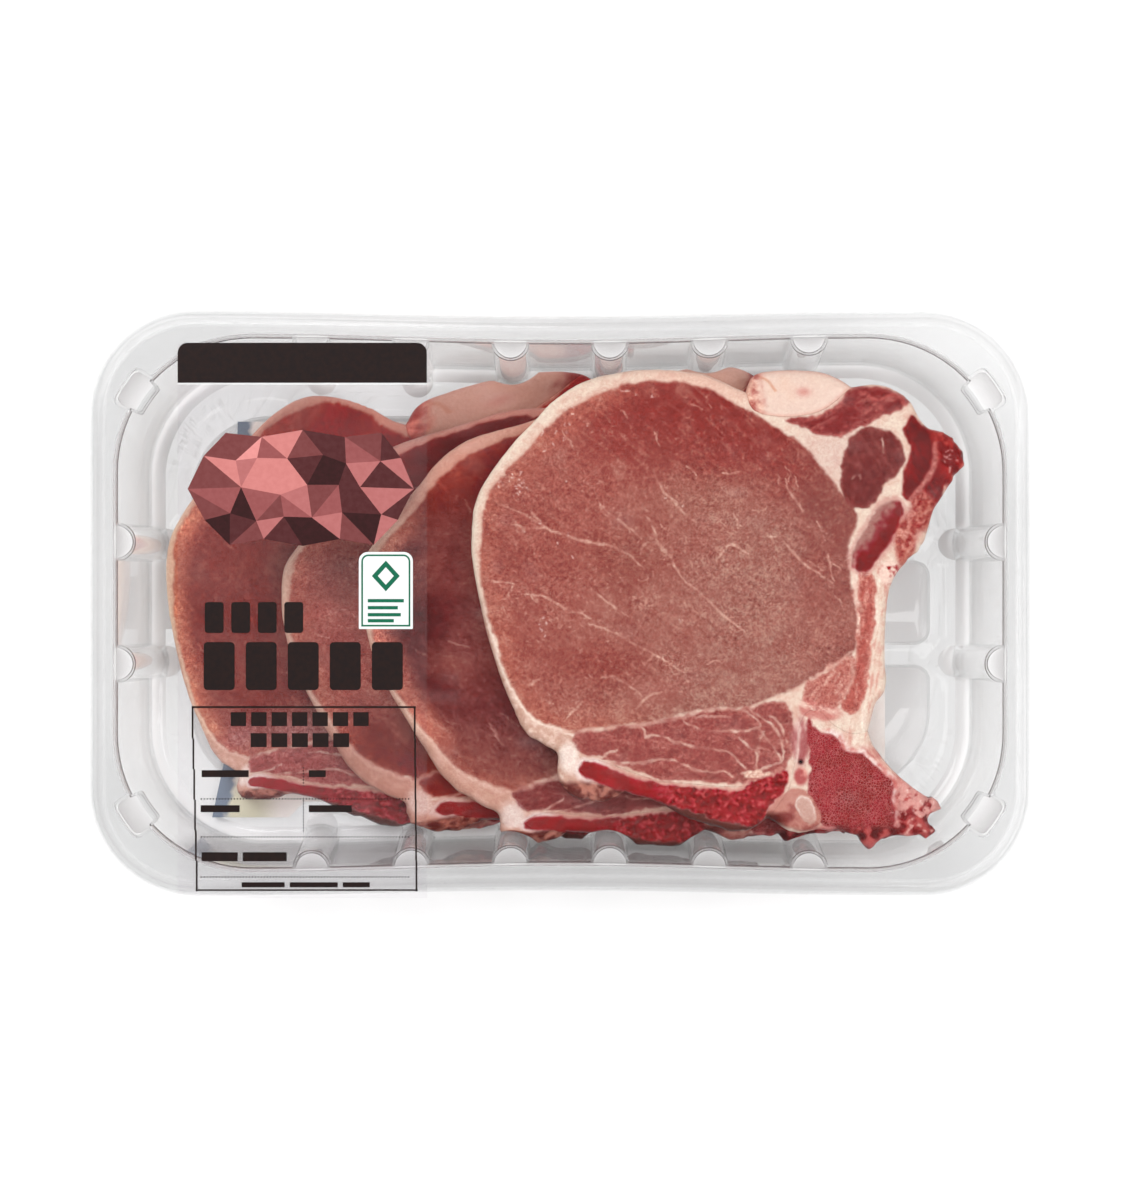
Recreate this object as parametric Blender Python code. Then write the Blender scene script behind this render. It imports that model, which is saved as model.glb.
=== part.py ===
"""Clear sealed tray of four bone-in pork chops, lying on an absorbent pad under a clear lid film.

The origin is the middle of the tray's foot. X runs along the long sides, Z is up.
Sizes here are in millimetres; meshes are made in metres.
"""
import math

import bmesh
import bpy
import numpy as np
from mathutils.geometry import delaunay_2d_cdt

METRES = 0.001
GAP = 0.3

# Tray: outer edge of the flange
TRAY_HEIGHT = 45.0
WALL = 0.6
OUTER_HALF_LENGTH = 115.0
OUTER_HALF_WIDTH = 71.6
OUTER_RADIUS = 26.0
OUTER_BOW = 1.3
SHOULDER = 2.2
SKIRT_DROP = 3.2

# Tray: mouth, which is the inner edge of the flange
MOUTH_HALF_LENGTH = 108.3
MOUTH_HALF_WIDTH = 64.9
MOUTH_RADIUS = 33.0
MOUTH_BOW = 1.5
STEP_DROP = 1.2
STEP_TAPER = 0.15
LEDGE_INSET = 0.35
DRAFT = math.tan(math.radians(5.0))
FLOOR_FILLET = 4.0

# Half-round ribs down the walls
RIB_HALF_WIDTH = 4.6
RIB_DEPTH_LONG = 4.1
RIB_DEPTH_SHORT = 4.4
RIB_PITCH_LONG = 24.3
RIBS_LONG = [RIB_PITCH_LONG * (i - 2.5) for i in range(6)]
RIBS_SHORT = [-14.9, 14.9]
RIB_SWEEP = [-90, -60, -30, 0, 30, 60, 90]

# Stacking lugs, one in each corner of the mouth
LUG_ANGLE = 34.8
LUG_OUT = 4.3
LUG_IN = 2.8
LUG_DROP = 8.0
LUG_STATIONS = [(-7.9, 0.0, 0.0), (-7.3, 0.55, 1.0), (-5.0, 1.0, 1.0), (0.0, 1.0, 1.0),
                (5.0, 1.0, 1.0), (7.3, 0.55, 1.0), (7.9, 0.0, 0.0)]
CORNER_ANGLES = [0, 10, 19, 53, 65, 78, 90]

# Raised panels of the floor, three rows with channels between them
PANEL_HALF_LENGTH = 94.0
PANEL_OUTER_RADIUS = 20.0
PANEL_INNER_RADIUS = 4.0
PANEL_RISE = 0.9
PANEL_SLOPE = 0.8
MIDDLE_PANEL_HALF = 10.7
OUTER_PANEL_FROM = 15.8
OUTER_PANEL_TO = 47.5

# Film and label
FILM_THICKNESS = 0.2
LABEL_THICKNESS = 0.15
LABEL_LEFT = -93.1
LABEL_RIGHT = -32.4
LABEL_TOP = 63.3
LABEL_TURN_DOWN = 2.8

# Absorbent pad, whose left end is askew and reaches into the tray's front left corner
PAD_THICKNESS = 1.5
PAD_OUTLINE = [(82.4, -50.5), (82.4, 46.0), (-82.0, 46.0), (-84.5, -36.0), (-88.5, -54.5), (-69.0, -54.5),
               (-65.0, -50.5)]

# Chops
CHOP_THICKNESS = 8.4
CROWN = 0.6
DROOP = 0.15
DROOP_LENGTH = 40.0
RIM = 0.8
LOW_RIM_AT = 0.2
HIGH_RIM_AT = 0.85
CROWN_HALF_WIDTH = 94.0
PRESS_EASE = 2.0
RIB_ROOM = 2.0
RIB_FULLNESS = 0.7
CURVE_STEP = 4.2
NEAREST_POINTS = 0.7
STEINER_STEP = 11.0
STEINER_CLEAR = 3.5
TOP_CHOP_CENTRE = (29.4, 10.5)

# One chop, round the middle of its eye muscle: open curves between shared corner points
RIB_CORNER = (-13.8, -57.0)
RIB_CHINE_TOP = (26.8, -56.2)
RIB_CHINE_FOOT = (21.6, -63.3)
CHINE_TOP = (46.2, -41.8)
CARTILAGE_LEFT = (16.2, 41.2)
CARTILAGE_RIGHT = (42.2, 42.5)

BACK_EDGE = [RIB_CORNER, (-17.4, -58.7), (-22.4, -59.2), (-27.4, -57.0), (-30.0, -53.0), (-30.2, -47.4),
             (-33.6, -45.2), (-38.4, -41.6), (-42.6, -32.4), (-46.5, -21.0), (-49.5, -8.5), (-51.1, 2.5),
             (-50.3, 13.6), (-46.6, 21.2), (-41.2, 28.2), (-36.2, 33.6), (-30.8, 39.2), (-22.3, 44.2),
             (-9.8, 46.6), (4.9, 45.6), CARTILAGE_LEFT]
CARTILAGE_SEAM = [CARTILAGE_LEFT, (17.7, 37.1), (22.3, 35.3), (29.5, 35.3), (35.6, 37.1), CARTILAGE_RIGHT]
CARTILAGE_EDGE = [CARTILAGE_LEFT, (18.2, 45.3), (24.5, 46.6), (32.9, 46.4), (38.3, 44.8), CARTILAGE_RIGHT]
CHINE_SIDE_EDGE = [CARTILAGE_RIGHT, (49.6, 43.0), (56.0, 39.6), (60.1, 33.6), (66.4, 30.4), (70.2, 25.3),
                   (66.4, 18.2), (62.6, 12.6), (59.6, 4.0), (52.2, -5.4), (50.3, -19.6), (50.6, -31.0),
                   (48.0, -35.6), CHINE_TOP]
CHINE_SEAM = [CHINE_TOP, (42.4, -42.6), (38.0, -40.7), (33.4, -36.6), (29.6, -39.4), (28.4, -48.0),
              RIB_CHINE_TOP]
CHINE_EDGE = [CHINE_TOP, (47.6, -45.6), (51.2, -50.4), (55.4, -54.4), (59.8, -57.6), (63.6, -60.6),
              (61.2, -64.0), (63.4, -67.4), (57.7, -68.0), (51.6, -67.8), (46.8, -71.2), (42.2, -67.2),
              (35.3, -66.3), (27.5, -66.5), RIB_CHINE_FOOT]
RIB_CHINE_SEAM = [RIB_CHINE_TOP, RIB_CHINE_FOOT]
RIB_EDGE = [RIB_CHINE_FOOT, (16.4, -66.4), (9.0, -65.4), (1.0, -62.8), (-6.4, -59.0), RIB_CORNER]
RIB_SEAM = [RIB_CHINE_TOP, (22.1, -54.4), (14.0, -55.6), (2.5, -54.8), (-5.6, -54.1), (-14.0, -51.2),
            (-21.0, -48.9), (-24.8, -50.4), (-21.8, -54.2), RIB_CORNER]

# Points of that chop by which the three lower chops are fitted to where they lie
LANDMARKS = [(-51.1, 2.5), (-44.9, -27.0), (-31.4, -45.4), (-23.8, -50.3), (-21.6, -58.2), (-44.2, 25.8),
             (-34.4, 36.3), (-9.8, 46.7), (16.2, 41.3), (42.2, 42.5), (70.2, 25.3), (50.3, -19.6),
             (50.3, -45.4), (63.6, -60.1), (21.6, -63.3)]
LOWER_CHOPS = {
    1: [(-99.2, 2.7), (-93.2, -25.7), (-81.4, -41.8), (-77.9, -44.6), (-75.1, -48.9), (-92.2, 27.9),
        (-76.4, 44.2), (-56.2, 51.8), (-39.1, 45.0), (5.4, 57.6), (25.0, 41.0), (7.4, -9.4),
        (-0.1, -33.8), (11.5, -48.9), (-31.6, -54.2)],
    2: [(-69.7, 1.2), (-64.9, -20.0), (-41.3, -47.9), (-30.0, -50.7), (-27.5, -56.2), (-63.2, 18.2),
        (-52.5, 31.1), (-28.5, 43.4), (-0.1, 48.6), (29.8, 55.1), (52.3, 40.6), (34.8, -9.3),
        (36.1, -35.5), (49.8, -49.2), (12.4, -55.7)],
    3: [(-49.3, 1.7), (-42.9, -21.3), (-17.4, -50.2), (-7.5, -53.9), (-6.3, -58.9), (-42.9, 20.5),
        (-32.2, 33.3), (-10.0, 44.2), (19.7, 50.6), (48.6, 56.0), (71.6, 40.3), (56.8, -9.2),
        (59.3, -35.2), (71.6, -48.8), (35.8, -56.7)],
}


def smoothstep(start, end, value):
    """Ease from 0 at start to 1 at end."""
    t = min(max((value - start) / (end - start), 0.0), 1.0)
    return t * t * (3.0 - 2.0 * t)


def material(name, colour, roughness, alpha=1.0):
    """A Principled material."""
    mat = bpy.data.materials.new(name)
    mat.use_nodes = True
    shader = mat.node_tree.nodes["Principled BSDF"]
    shader.inputs["Base Color"].default_value = (*colour, 1.0)
    shader.inputs["Roughness"].default_value = roughness
    shader.inputs["Metallic"].default_value = 0.0
    shader.inputs["Alpha"].default_value = alpha
    return mat


def add_piece(name, points, faces, mat, sharp_angle=40.0):
    """Make one object from points in millimetres and faces of point numbers."""
    mesh = bpy.data.meshes.new(name)
    mesh.from_pydata([(x * METRES, y * METRES, z * METRES) for x, y, z in points], [], faces)
    bm = bmesh.new()
    bm.from_mesh(mesh)
    bmesh.ops.recalc_face_normals(bm, faces=bm.faces)
    bm.to_mesh(mesh)
    bm.free()
    mesh.shade_smooth()
    mesh.set_sharp_from_angle(angle=math.radians(sharp_angle))
    mesh.materials.append(mat)
    piece = bpy.data.objects.new(name, mesh)
    bpy.context.scene.collection.objects.link(piece)
    return piece


# Rings of the tray

def bow_at(x, straight_half, bow):
    """How far a long side is drawn in at x: most in the middle, nothing where the corners start."""
    if abs(x) >= straight_half:
        return 0.0
    return bow * (1.0 + math.cos(math.pi * x / straight_half)) / 2.0


def side_stations(side, marks):
    """Stations along one straight side; a mark is (place, rib sweep or None)."""
    return [{"side": side, "place": place, "sweep": sweep} for place, sweep in marks]


def corner_stations(quadrant, angles):
    """Stations round one corner; an angle is (degrees from the X axis, lug out, lug in, lug's side)."""
    ordered = sorted(angles)
    if quadrant in (1, 3):
        ordered = [(90.0 - angle, out, inward, -hand) for angle, out, inward, hand in reversed(ordered)]
    return [{"corner": quadrant, "turn": angle, "out": out, "in": inward, "hand": hand}
            for angle, out, inward, hand in ordered]


def outer_stations():
    """Stations of the flange's outer rings, counter-clockwise from the middle of the right side."""
    side_places = [-0.75, -0.5, -0.25, 0.0, 0.25, 0.5, 0.75]
    angles = [(15.0 * i, 0.0, 0.0, 0) for i in range(7)]
    stations = []
    for side in range(4):
        marks = [(place, None) for place in side_places] if side % 2 else [(0.0, None)]
        stations += side_stations(side, marks)
        stations += corner_stations(side, angles)
    return stations


def inner_stations():
    """Stations of the mouth, the ribbed wall and the floor's edge."""
    angles = [(angle, 0.0, 0.0, 0) for angle in CORNER_ANGLES]
    angles += [(LUG_ANGLE + turn, out, inward, (turn > 0) - (turn < 0)) for turn, out, inward in LUG_STATIONS]
    stations = []
    for side in range(4):
        ribs = RIBS_LONG if side % 2 else RIBS_SHORT
        marks = [(place, sweep) for place in ribs for sweep in RIB_SWEEP]
        stations += side_stations(side, marks)
        stations += corner_stations(side, angles)
    return stations


def ring(stations, shape, inset, z, rib=0.0, thin=0.0, lug_out=0.0, lug_in=0.0):
    """One closed ring of points at height z, inset from the outline that shape gives.

    rib is 1 where the wall carries its ribs. thin fits ribs and lugs to the underside of the sheet:
    it narrows what stands into the tray and widens what is sunk into the flange.
    """
    half_length, half_width, radius, bow = shape
    lug_spread = math.degrees(thin / radius) * (1.0 if lug_out else -1.0)
    centre_x = half_length - radius
    centre_y = half_width - radius
    points = []
    for station in stations:
        if "side" in station:
            side = station["side"]
            long_side = side % 2 == 1
            half = centre_x if long_side else centre_y
            sign = 1.0 if side < 2 else -1.0
            sweep = station["sweep"]
            if sweep is None:
                along = station["place"] * half
                inward = 0.0
            else:
                depth = RIB_DEPTH_LONG if long_side else RIB_DEPTH_SHORT
                angle = math.radians(sweep)
                along = station["place"] + (RIB_HALF_WIDTH - thin) * math.sin(angle)
                inward = rib * depth * math.cos(angle)
            if long_side:
                x = -sign * along
                y = sign * (half_width - inset - inward - bow_at(along, centre_x, bow))
            else:
                x = sign * (half_length - inset - inward)
                y = sign * along
            points.append((x, y, z))
        else:
            quadrant = station["corner"]
            angle = math.radians(station["turn"] + station["hand"] * lug_spread + 90.0 * quadrant)
            reach = radius - inset + lug_out * station["out"] - lug_in * station["in"]
            middle_x = centre_x if quadrant in (0, 3) else -centre_x
            middle_y = centre_y if quadrant in (0, 1) else -centre_y
            points.append((middle_x + reach * math.cos(angle), middle_y + reach * math.sin(angle), z))
    return points


class Sheet:
    """Points and faces of one closed skin, grown ring by ring."""

    def __init__(self):
        self.points = []
        self.faces = []

    def add_ring(self, points):
        """Store a ring and return the numbers of its points."""
        start = len(self.points)
        self.points += points
        return list(range(start, start + len(points)))

    def bridge(self, first, second):
        """Join two rings that have the same stations."""
        count = len(first)
        for i in range(count):
            j = (i + 1) % count
            self.faces.append((first[i], first[j], second[j], second[i]))

    def fill(self, loops, facing, hole=None):
        """Fill the first loop of point numbers, less a hole; facing is 1 for a face that looks up."""
        if hole:
            loops = loops + [hole]
        numbers = [number for loop in loops for number in loop]
        outlines = [[self.points[number][:2] for number in loop] for loop in loops]
        for triangle in triangulate(outlines, hole=outlines[-1] if hole else ()):
            self.faces.append(tuple(numbers[corner] for corner in triangle[::facing]))


def inside_loop(point, loop):
    """Whether a point is inside a closed loop."""
    x, y = point
    inside = False
    for (x1, y1), (x2, y2) in zip(loop, loop[1:] + loop[:1]):
        if (y1 > y) != (y2 > y) and x < x1 + (y - y1) * (x2 - x1) / (y2 - y1):
            inside = not inside
    return inside


def triangulate(loops, inner_points=(), hole=()):
    """Triangles that fill the first loop and keep to every loop, less those within the hole."""
    points = []
    edges = []
    for loop in loops:
        start = len(points)
        points += list(loop)
        edges += [(start + i, start + (i + 1) % len(loop)) for i in range(len(loop))]
    points += list(inner_points)
    filled, _, triangles, _, _, _ = delaunay_2d_cdt(points, edges, [], 1, 1e-5)
    if len(filled) != len(points):
        raise ValueError("outline points coincide")
    kept = []
    for triangle in triangles:
        middle = [sum(points[corner][axis] for corner in triangle) / 3.0 for axis in (0, 1)]
        if not hole or not inside_loop(middle, hole):
            kept.append(tuple(triangle))
    return kept


def rounded_panel(low, high, low_radius, high_radius):
    """Counter-clockwise outline of a floor panel from y = low to y = high."""
    points = []
    for index, (sign_x, y, sign_y, radius) in enumerate([(1, low, -1, low_radius), (1, high, 1, high_radius),
                                                         (-1, high, 1, high_radius), (-1, low, -1, low_radius)]):
        steps = 5 if radius > PANEL_INNER_RADIUS else 2
        start = math.radians(90.0 * (index - 1))
        for step in range(steps + 1):
            angle = start + math.radians(90.0) * step / steps
            points.append((sign_x * (PANEL_HALF_LENGTH - radius) + radius * math.cos(angle),
                           y - sign_y * radius + radius * math.sin(angle)))
    return points


def inset_loop(loop, distance):
    """Move a counter-clockwise loop's points inwards."""
    points = np.array(loop, dtype=float)
    ahead = np.roll(points, -1, axis=0) - points
    ahead /= np.linalg.norm(ahead, axis=1)[:, None]
    normal = np.stack([-ahead[:, 1], ahead[:, 0]], axis=1)
    before = np.roll(normal, 1, axis=0)
    middle = normal + before
    middle /= np.maximum(np.linalg.norm(middle, axis=1), 0.2)[:, None]
    reach = np.maximum((middle * normal).sum(axis=1), 0.6)
    moved = points + middle * (distance / reach)[:, None]
    return [tuple(point) for point in moved]


def wall_inset(z):
    """Inset of the wall's inner face from the mouth at height z."""
    return LEDGE_INSET + DRAFT * (TRAY_HEIGHT - STEP_DROP - z)


def build_tray():
    """The clear tray: skirt, flange, stepped mouth with lugs, ribbed walls and panelled floor."""
    outer = (OUTER_HALF_LENGTH, OUTER_HALF_WIDTH, OUTER_RADIUS, OUTER_BOW)
    mouth = (MOUTH_HALF_LENGTH, MOUTH_HALF_WIDTH, MOUTH_RADIUS, MOUTH_BOW)
    rim = outer_stations()
    wall = inner_stations()
    top = TRAY_HEIGHT
    curve = SHOULDER * (1.0 - math.sqrt(0.5))
    fillet_centre_z = WALL + FLOOR_FILLET
    fillet_centre = wall_inset(fillet_centre_z) + FLOOR_FILLET

    def skin(depth):
        """Rings from the skirt's foot to the floor's edge; depth is 0 inside, WALL on the underside."""
        slant = depth * math.sqrt(0.5)
        rings = [
            ring(rim, outer, depth, top - SKIRT_DROP),
            ring(rim, outer, depth, top - SHOULDER),
            ring(rim, outer, curve + slant, top - curve - slant),
            ring(rim, outer, SHOULDER, top - depth),
            ring(wall, mouth, -depth, top - depth, thin=depth, lug_out=LUG_OUT),
            ring(wall, mouth, STEP_TAPER - depth, top - STEP_DROP - depth, thin=depth, lug_out=LUG_OUT),
            ring(wall, mouth, LEDGE_INSET - depth, top - STEP_DROP - depth, 1.0, depth, lug_in=LUG_IN),
            ring(wall, mouth, wall_inset(top - LUG_DROP) - depth, top - LUG_DROP, 1.0, depth),
            ring(wall, mouth, wall_inset(fillet_centre_z) - depth, fillet_centre_z, 1.0, depth),
        ]
        for turn in (45.0, 90.0):
            angle = math.radians(turn)
            reach = FLOOR_FILLET + depth
            rings.append(ring(wall, mouth, fillet_centre - reach * math.cos(angle),
                              fillet_centre_z - reach * math.sin(angle), 1.0, depth))
        return rings

    inside = skin(0.0)
    under = skin(WALL)
    sheet = Sheet()
    path = [sheet.add_ring(points) for points in reversed(under)]
    path += [sheet.add_ring(points) for points in inside]
    for first, second in zip(path, path[1:]):
        if len(first) == len(second):
            sheet.bridge(first, second)
        elif len(first) > len(second):
            sheet.fill([second], -1, hole=first)
        else:
            sheet.fill([first], 1, hole=second)

    rows = [(-OUTER_PANEL_TO, -OUTER_PANEL_FROM, PANEL_OUTER_RADIUS, PANEL_INNER_RADIUS),
            (-MIDDLE_PANEL_HALF, MIDDLE_PANEL_HALF, PANEL_INNER_RADIUS, PANEL_INNER_RADIUS),
            (OUTER_PANEL_FROM, OUTER_PANEL_TO, PANEL_INNER_RADIUS, PANEL_OUTER_RADIUS)]
    feet = [rounded_panel(*row) for row in rows]
    for edge, base, facing in ((path[-1], WALL, 1), (path[0], 0.0, -1)):
        loops = [edge]
        for foot in feet:
            loops.append(sheet.add_ring([(x, y, base) for x, y in foot]))
        for foot in feet:
            raised = inset_loop(foot, PANEL_SLOPE)
            loops.append(sheet.add_ring([(x, y, base + PANEL_RISE) for x, y in raised]))
        sheet.fill(loops, facing)
    mat = material("clear_plastic", (0.92, 0.93, 0.93), 0.08, alpha=0.35)
    return add_piece("tray", sheet.points, sheet.faces, mat, 25.0)


def plate(name, outline, low, high, mat):
    """A flat plate with the given counter-clockwise outline."""
    count = len(outline)
    points = [(x, y, low) for x, y in outline] + [(x, y, high) for x, y in outline]
    faces = [tuple(range(count - 1, -1, -1)), tuple(range(count, 2 * count))]
    for i in range(count):
        j = (i + 1) % count
        faces.append((i, j, count + j, count + i))
    return add_piece(name, points, faces, mat)


def build_film():
    """The lid film, sealed flat on the flange as far as its rounded shoulder."""
    outer = (OUTER_HALF_LENGTH, OUTER_HALF_WIDTH, OUTER_RADIUS, OUTER_BOW)
    outline = [point[:2] for point in ring(outer_stations(), outer, SHOULDER, 0.0)]
    low = TRAY_HEIGHT + GAP
    mat = material("clear_film", (0.95, 0.95, 0.95), 0.05, alpha=0.15)
    return plate("lid_film", outline, low, low + FILM_THICKNESS, mat)


def build_label():
    """The clear label: flat on the film, then turned down over the front edge of the flange."""
    low = TRAY_HEIGHT + 2.0 * GAP + FILM_THICKNESS
    front = OUTER_HALF_WIDTH + GAP
    bend = SHOULDER + 2.0 * GAP + FILM_THICKNESS
    bend_y = bend - front
    bend_z = low - bend
    under = [(LABEL_TOP, low)]
    over = [(LABEL_TOP, low + LABEL_THICKNESS)]
    for turn in (0.0, 30.0, 60.0, 90.0):
        angle = math.radians(turn)
        for line, reach in ((under, bend), (over, bend + LABEL_THICKNESS)):
            line.append((bend_y - reach * math.sin(angle), bend_z + reach * math.cos(angle)))
    under.append((-front, TRAY_HEIGHT - LABEL_TURN_DOWN))
    over.append((-front - LABEL_THICKNESS, TRAY_HEIGHT - LABEL_TURN_DOWN))
    section = under + over[::-1]
    count = len(section)
    points = [(x, y, z) for x in (LABEL_LEFT, LABEL_RIGHT) for y, z in section]
    faces = []
    for start, flip in ((0, 1), (count, -1)):
        half = len(under)
        for i in range(half - 1):
            quad = (start + i, start + i + 1, start + count - 2 - i, start + count - 1 - i)
            faces.append(quad[::flip])
    for i in range(count):
        j = (i + 1) % count
        faces.append((i, count + i, count + j, j))
    mat = material("printed_clear_label", (0.16, 0.12, 0.12), 0.35, alpha=0.6)
    return add_piece("label", points, faces, mat)


def build_pad():
    """The absorbent pad, lying on the floor's panels."""
    low = WALL + PANEL_RISE + GAP
    mat = material("absorbent_pad", (0.85, 0.84, 0.8), 0.8)
    return plate("absorbent_pad", PAD_OUTLINE, low, low + PAD_THICKNESS, mat)


# Chops

def curve_points(corners, step):
    """Points along a smooth open curve through the given corners, about a step apart."""
    knots = np.array(corners, dtype=float)
    if len(knots) == 2:
        return [tuple(point) for point in knots]
    padded = np.vstack([2 * knots[0] - knots[1], knots, 2 * knots[-1] - knots[-2]])
    points = []
    for i in range(1, len(padded) - 2):
        before, start, end, after = padded[i - 1:i + 3]
        parts = max(1, round(float(np.linalg.norm(end - start)) / step))
        for part in range(parts):
            t = part / parts
            point = 0.5 * (2 * start + (end - before) * t
                           + (2 * before - 5 * start + 4 * end - after) * t ** 2
                           + (3 * start - before - 3 * end + after) * t ** 3)
            points.append(tuple(point))
    points.append(tuple(knots[-1]))
    return points


def thin_plate(source, target):
    """The smooth bending of the plane that takes the source points to the target points."""
    source = np.array(source, dtype=float)
    target = np.array(target, dtype=float)
    count = len(source)

    def kernel(distance):
        return np.where(distance > 0.0, distance ** 2 * np.log(np.maximum(distance, 1e-9)), 0.0)

    spread = kernel(np.linalg.norm(source[:, None] - source[None], axis=2))
    plane = np.hstack([np.ones((count, 1)), source])
    system = np.zeros((count + 3, count + 3))
    system[:count, :count] = spread
    system[:count, count:] = plane
    system[count:, :count] = plane.T
    weights = np.linalg.solve(system, np.vstack([target, np.zeros((3, 2))]))

    def bend(points):
        points = np.array(points, dtype=float)
        near = kernel(np.linalg.norm(points[:, None] - source[None], axis=2))
        flat = np.hstack([np.ones((len(points), 1)), points])
        return near @ weights[:count] + flat @ weights[count:]

    return bend


def soft_limit(value, limit):
    """Ease a size that nears or passes a limit back under it."""
    start = limit - PRESS_EASE
    if value <= start:
        return value
    return limit - PRESS_EASE * math.exp((start - value) / PRESS_EASE)


def rib_reach(x):
    """How far the nearest rib of a long side stands into the tray at x, with some room beside it."""
    off = min(abs(x - place) for place in RIBS_LONG) / (RIB_HALF_WIDTH + RIB_ROOM)
    return RIB_DEPTH_LONG * math.cos(math.pi / 2.0 * min(off, 1.0)) ** RIB_FULLNESS


def keep_inside_wall(points, z):
    """Press points that would pass the tray's wall or its ribs back inside them."""
    inset = wall_inset(z) + 2 * GAP
    centre_x = MOUTH_HALF_LENGTH - MOUTH_RADIUS
    centre_y = MOUTH_HALF_WIDTH - MOUTH_RADIUS
    kept = []
    for x, y in points:
        if abs(x) < centre_x:
            limit = MOUTH_HALF_WIDTH - bow_at(x, centre_x, MOUTH_BOW) - inset - rib_reach(x)
            y = math.copysign(soft_limit(abs(y), limit), y)
        elif abs(y) > centre_y:
            away = math.hypot(abs(x) - centre_x, abs(y) - centre_y)
            shrink = soft_limit(away, MOUTH_RADIUS - inset) / away
            x = math.copysign(centre_x + (abs(x) - centre_x) * shrink, x)
            y = math.copysign(centre_y + (abs(y) - centre_y) * shrink, y)
        kept.append((x, y))
    return kept


def join_curves(curves):
    """One closed outline from curves that end where the next begins, without repeated points."""
    outline = []
    for curve in curves:
        outline += curve[:-1]
    return outline


def tidy_outline(outline):
    """Counter-clockwise outline without points that nearly coincide."""
    kept = []
    for point in outline[::-1]:
        if not kept or math.dist(point, kept[-1]) > NEAREST_POINTS:
            kept.append(point)
    if math.dist(kept[0], kept[-1]) <= NEAREST_POINTS:
        kept.pop()
    return kept


def steiner_points(loop):
    """Grid points well inside a loop, so that its top can bend."""
    corners = np.array(loop)
    low = corners.min(axis=0)
    high = corners.max(axis=0)
    points = []
    for row, y in enumerate(np.arange(low[1], high[1], STEINER_STEP * math.sqrt(0.75))):
        for x in np.arange(low[0] + (row % 2) * STEINER_STEP / 2, high[0], STEINER_STEP):
            clear = np.linalg.norm(corners - (x, y), axis=1).min()
            if clear > STEINER_CLEAR and inside_loop((x, y), loop):
                points.append((float(x), float(y)))
    return points


def chop_curves(number):
    """The curves of one chop, bent to where it lies in the tray."""
    curves = {
        "back": BACK_EDGE, "cartilage_seam": CARTILAGE_SEAM, "cartilage_edge": CARTILAGE_EDGE,
        "chine_side": CHINE_SIDE_EDGE, "chine_seam": CHINE_SEAM, "chine_edge": CHINE_EDGE,
        "rib_chine": RIB_CHINE_SEAM, "rib_edge": RIB_EDGE, "rib_seam": RIB_SEAM,
    }
    if number in LOWER_CHOPS:
        bend = thin_plate(LANDMARKS, LOWER_CHOPS[number])
    else:
        def bend(points):
            return np.array(points) + TOP_CHOP_CENTRE
    level = WALL + PANEL_RISE + PAD_THICKNESS + (number - 0.5) * CHOP_THICKNESS
    placed = {}
    for name, corners in curves.items():
        placed[name] = keep_inside_wall([tuple(point) for point in bend(curve_points(corners, CURVE_STEP))],
                                        level)
    return placed


def chop_outlines(curves):
    """Closed outlines of a chop's four solids."""
    def back(name):
        return curves[name][::-1]

    loops = {
        "meat": [curves["back"], curves["cartilage_seam"], curves["chine_side"], curves["chine_seam"],
                 curves["rib_seam"]],
        "rib_bone": [back("rib_seam"), curves["rib_chine"], curves["rib_edge"]],
        "chine_bone": [back("chine_seam"), curves["chine_edge"], back("rib_chine")],
        "cartilage": [curves["cartilage_edge"], back("cartilage_seam")],
    }
    return {name: tidy_outline(join_curves(parts)) for name, parts in loops.items()}


def slab(name, outline, floor_at, crown_at, mat):
    """A slice with the given outline: rounded rims, a floor that may droop and a slightly crowned top."""
    shrunk = inset_loop(outline, GAP / 2.0)
    cap = inset_loop(shrunk, RIM)
    inner = steiner_points(cap)
    triangles = triangulate([cap], inner)
    cap_points = cap + inner
    low = [(x, y, floor_at(x)) for x, y in cap_points]
    high = [(x, y, floor_at(x) + CHOP_THICKNESS + crown_at(x, y)) for x, y in cap_points]
    count = len(cap)
    low_rim = [(x, y, floor_at(x) + LOW_RIM_AT * CHOP_THICKNESS) for x, y in shrunk]
    high_rim = [(x, y, floor_at(x) + HIGH_RIM_AT * CHOP_THICKNESS) for x, y in shrunk]
    points = low + high + low_rim + high_rim
    total = len(cap_points)
    rings = [list(range(count)), list(range(2 * total, 2 * total + count)),
             list(range(2 * total + count, 2 * total + 2 * count)), list(range(total, total + count))]
    faces = [triangle[::-1] for triangle in triangles]
    faces += [tuple(total + corner for corner in triangle) for triangle in triangles]
    for lower, upper in zip(rings, rings[1:]):
        for i in range(count):
            j = (i + 1) % count
            faces.append((lower[i], lower[j], upper[j], upper[i]))
    return add_piece(name, points, faces, mat, 50.0)


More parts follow.
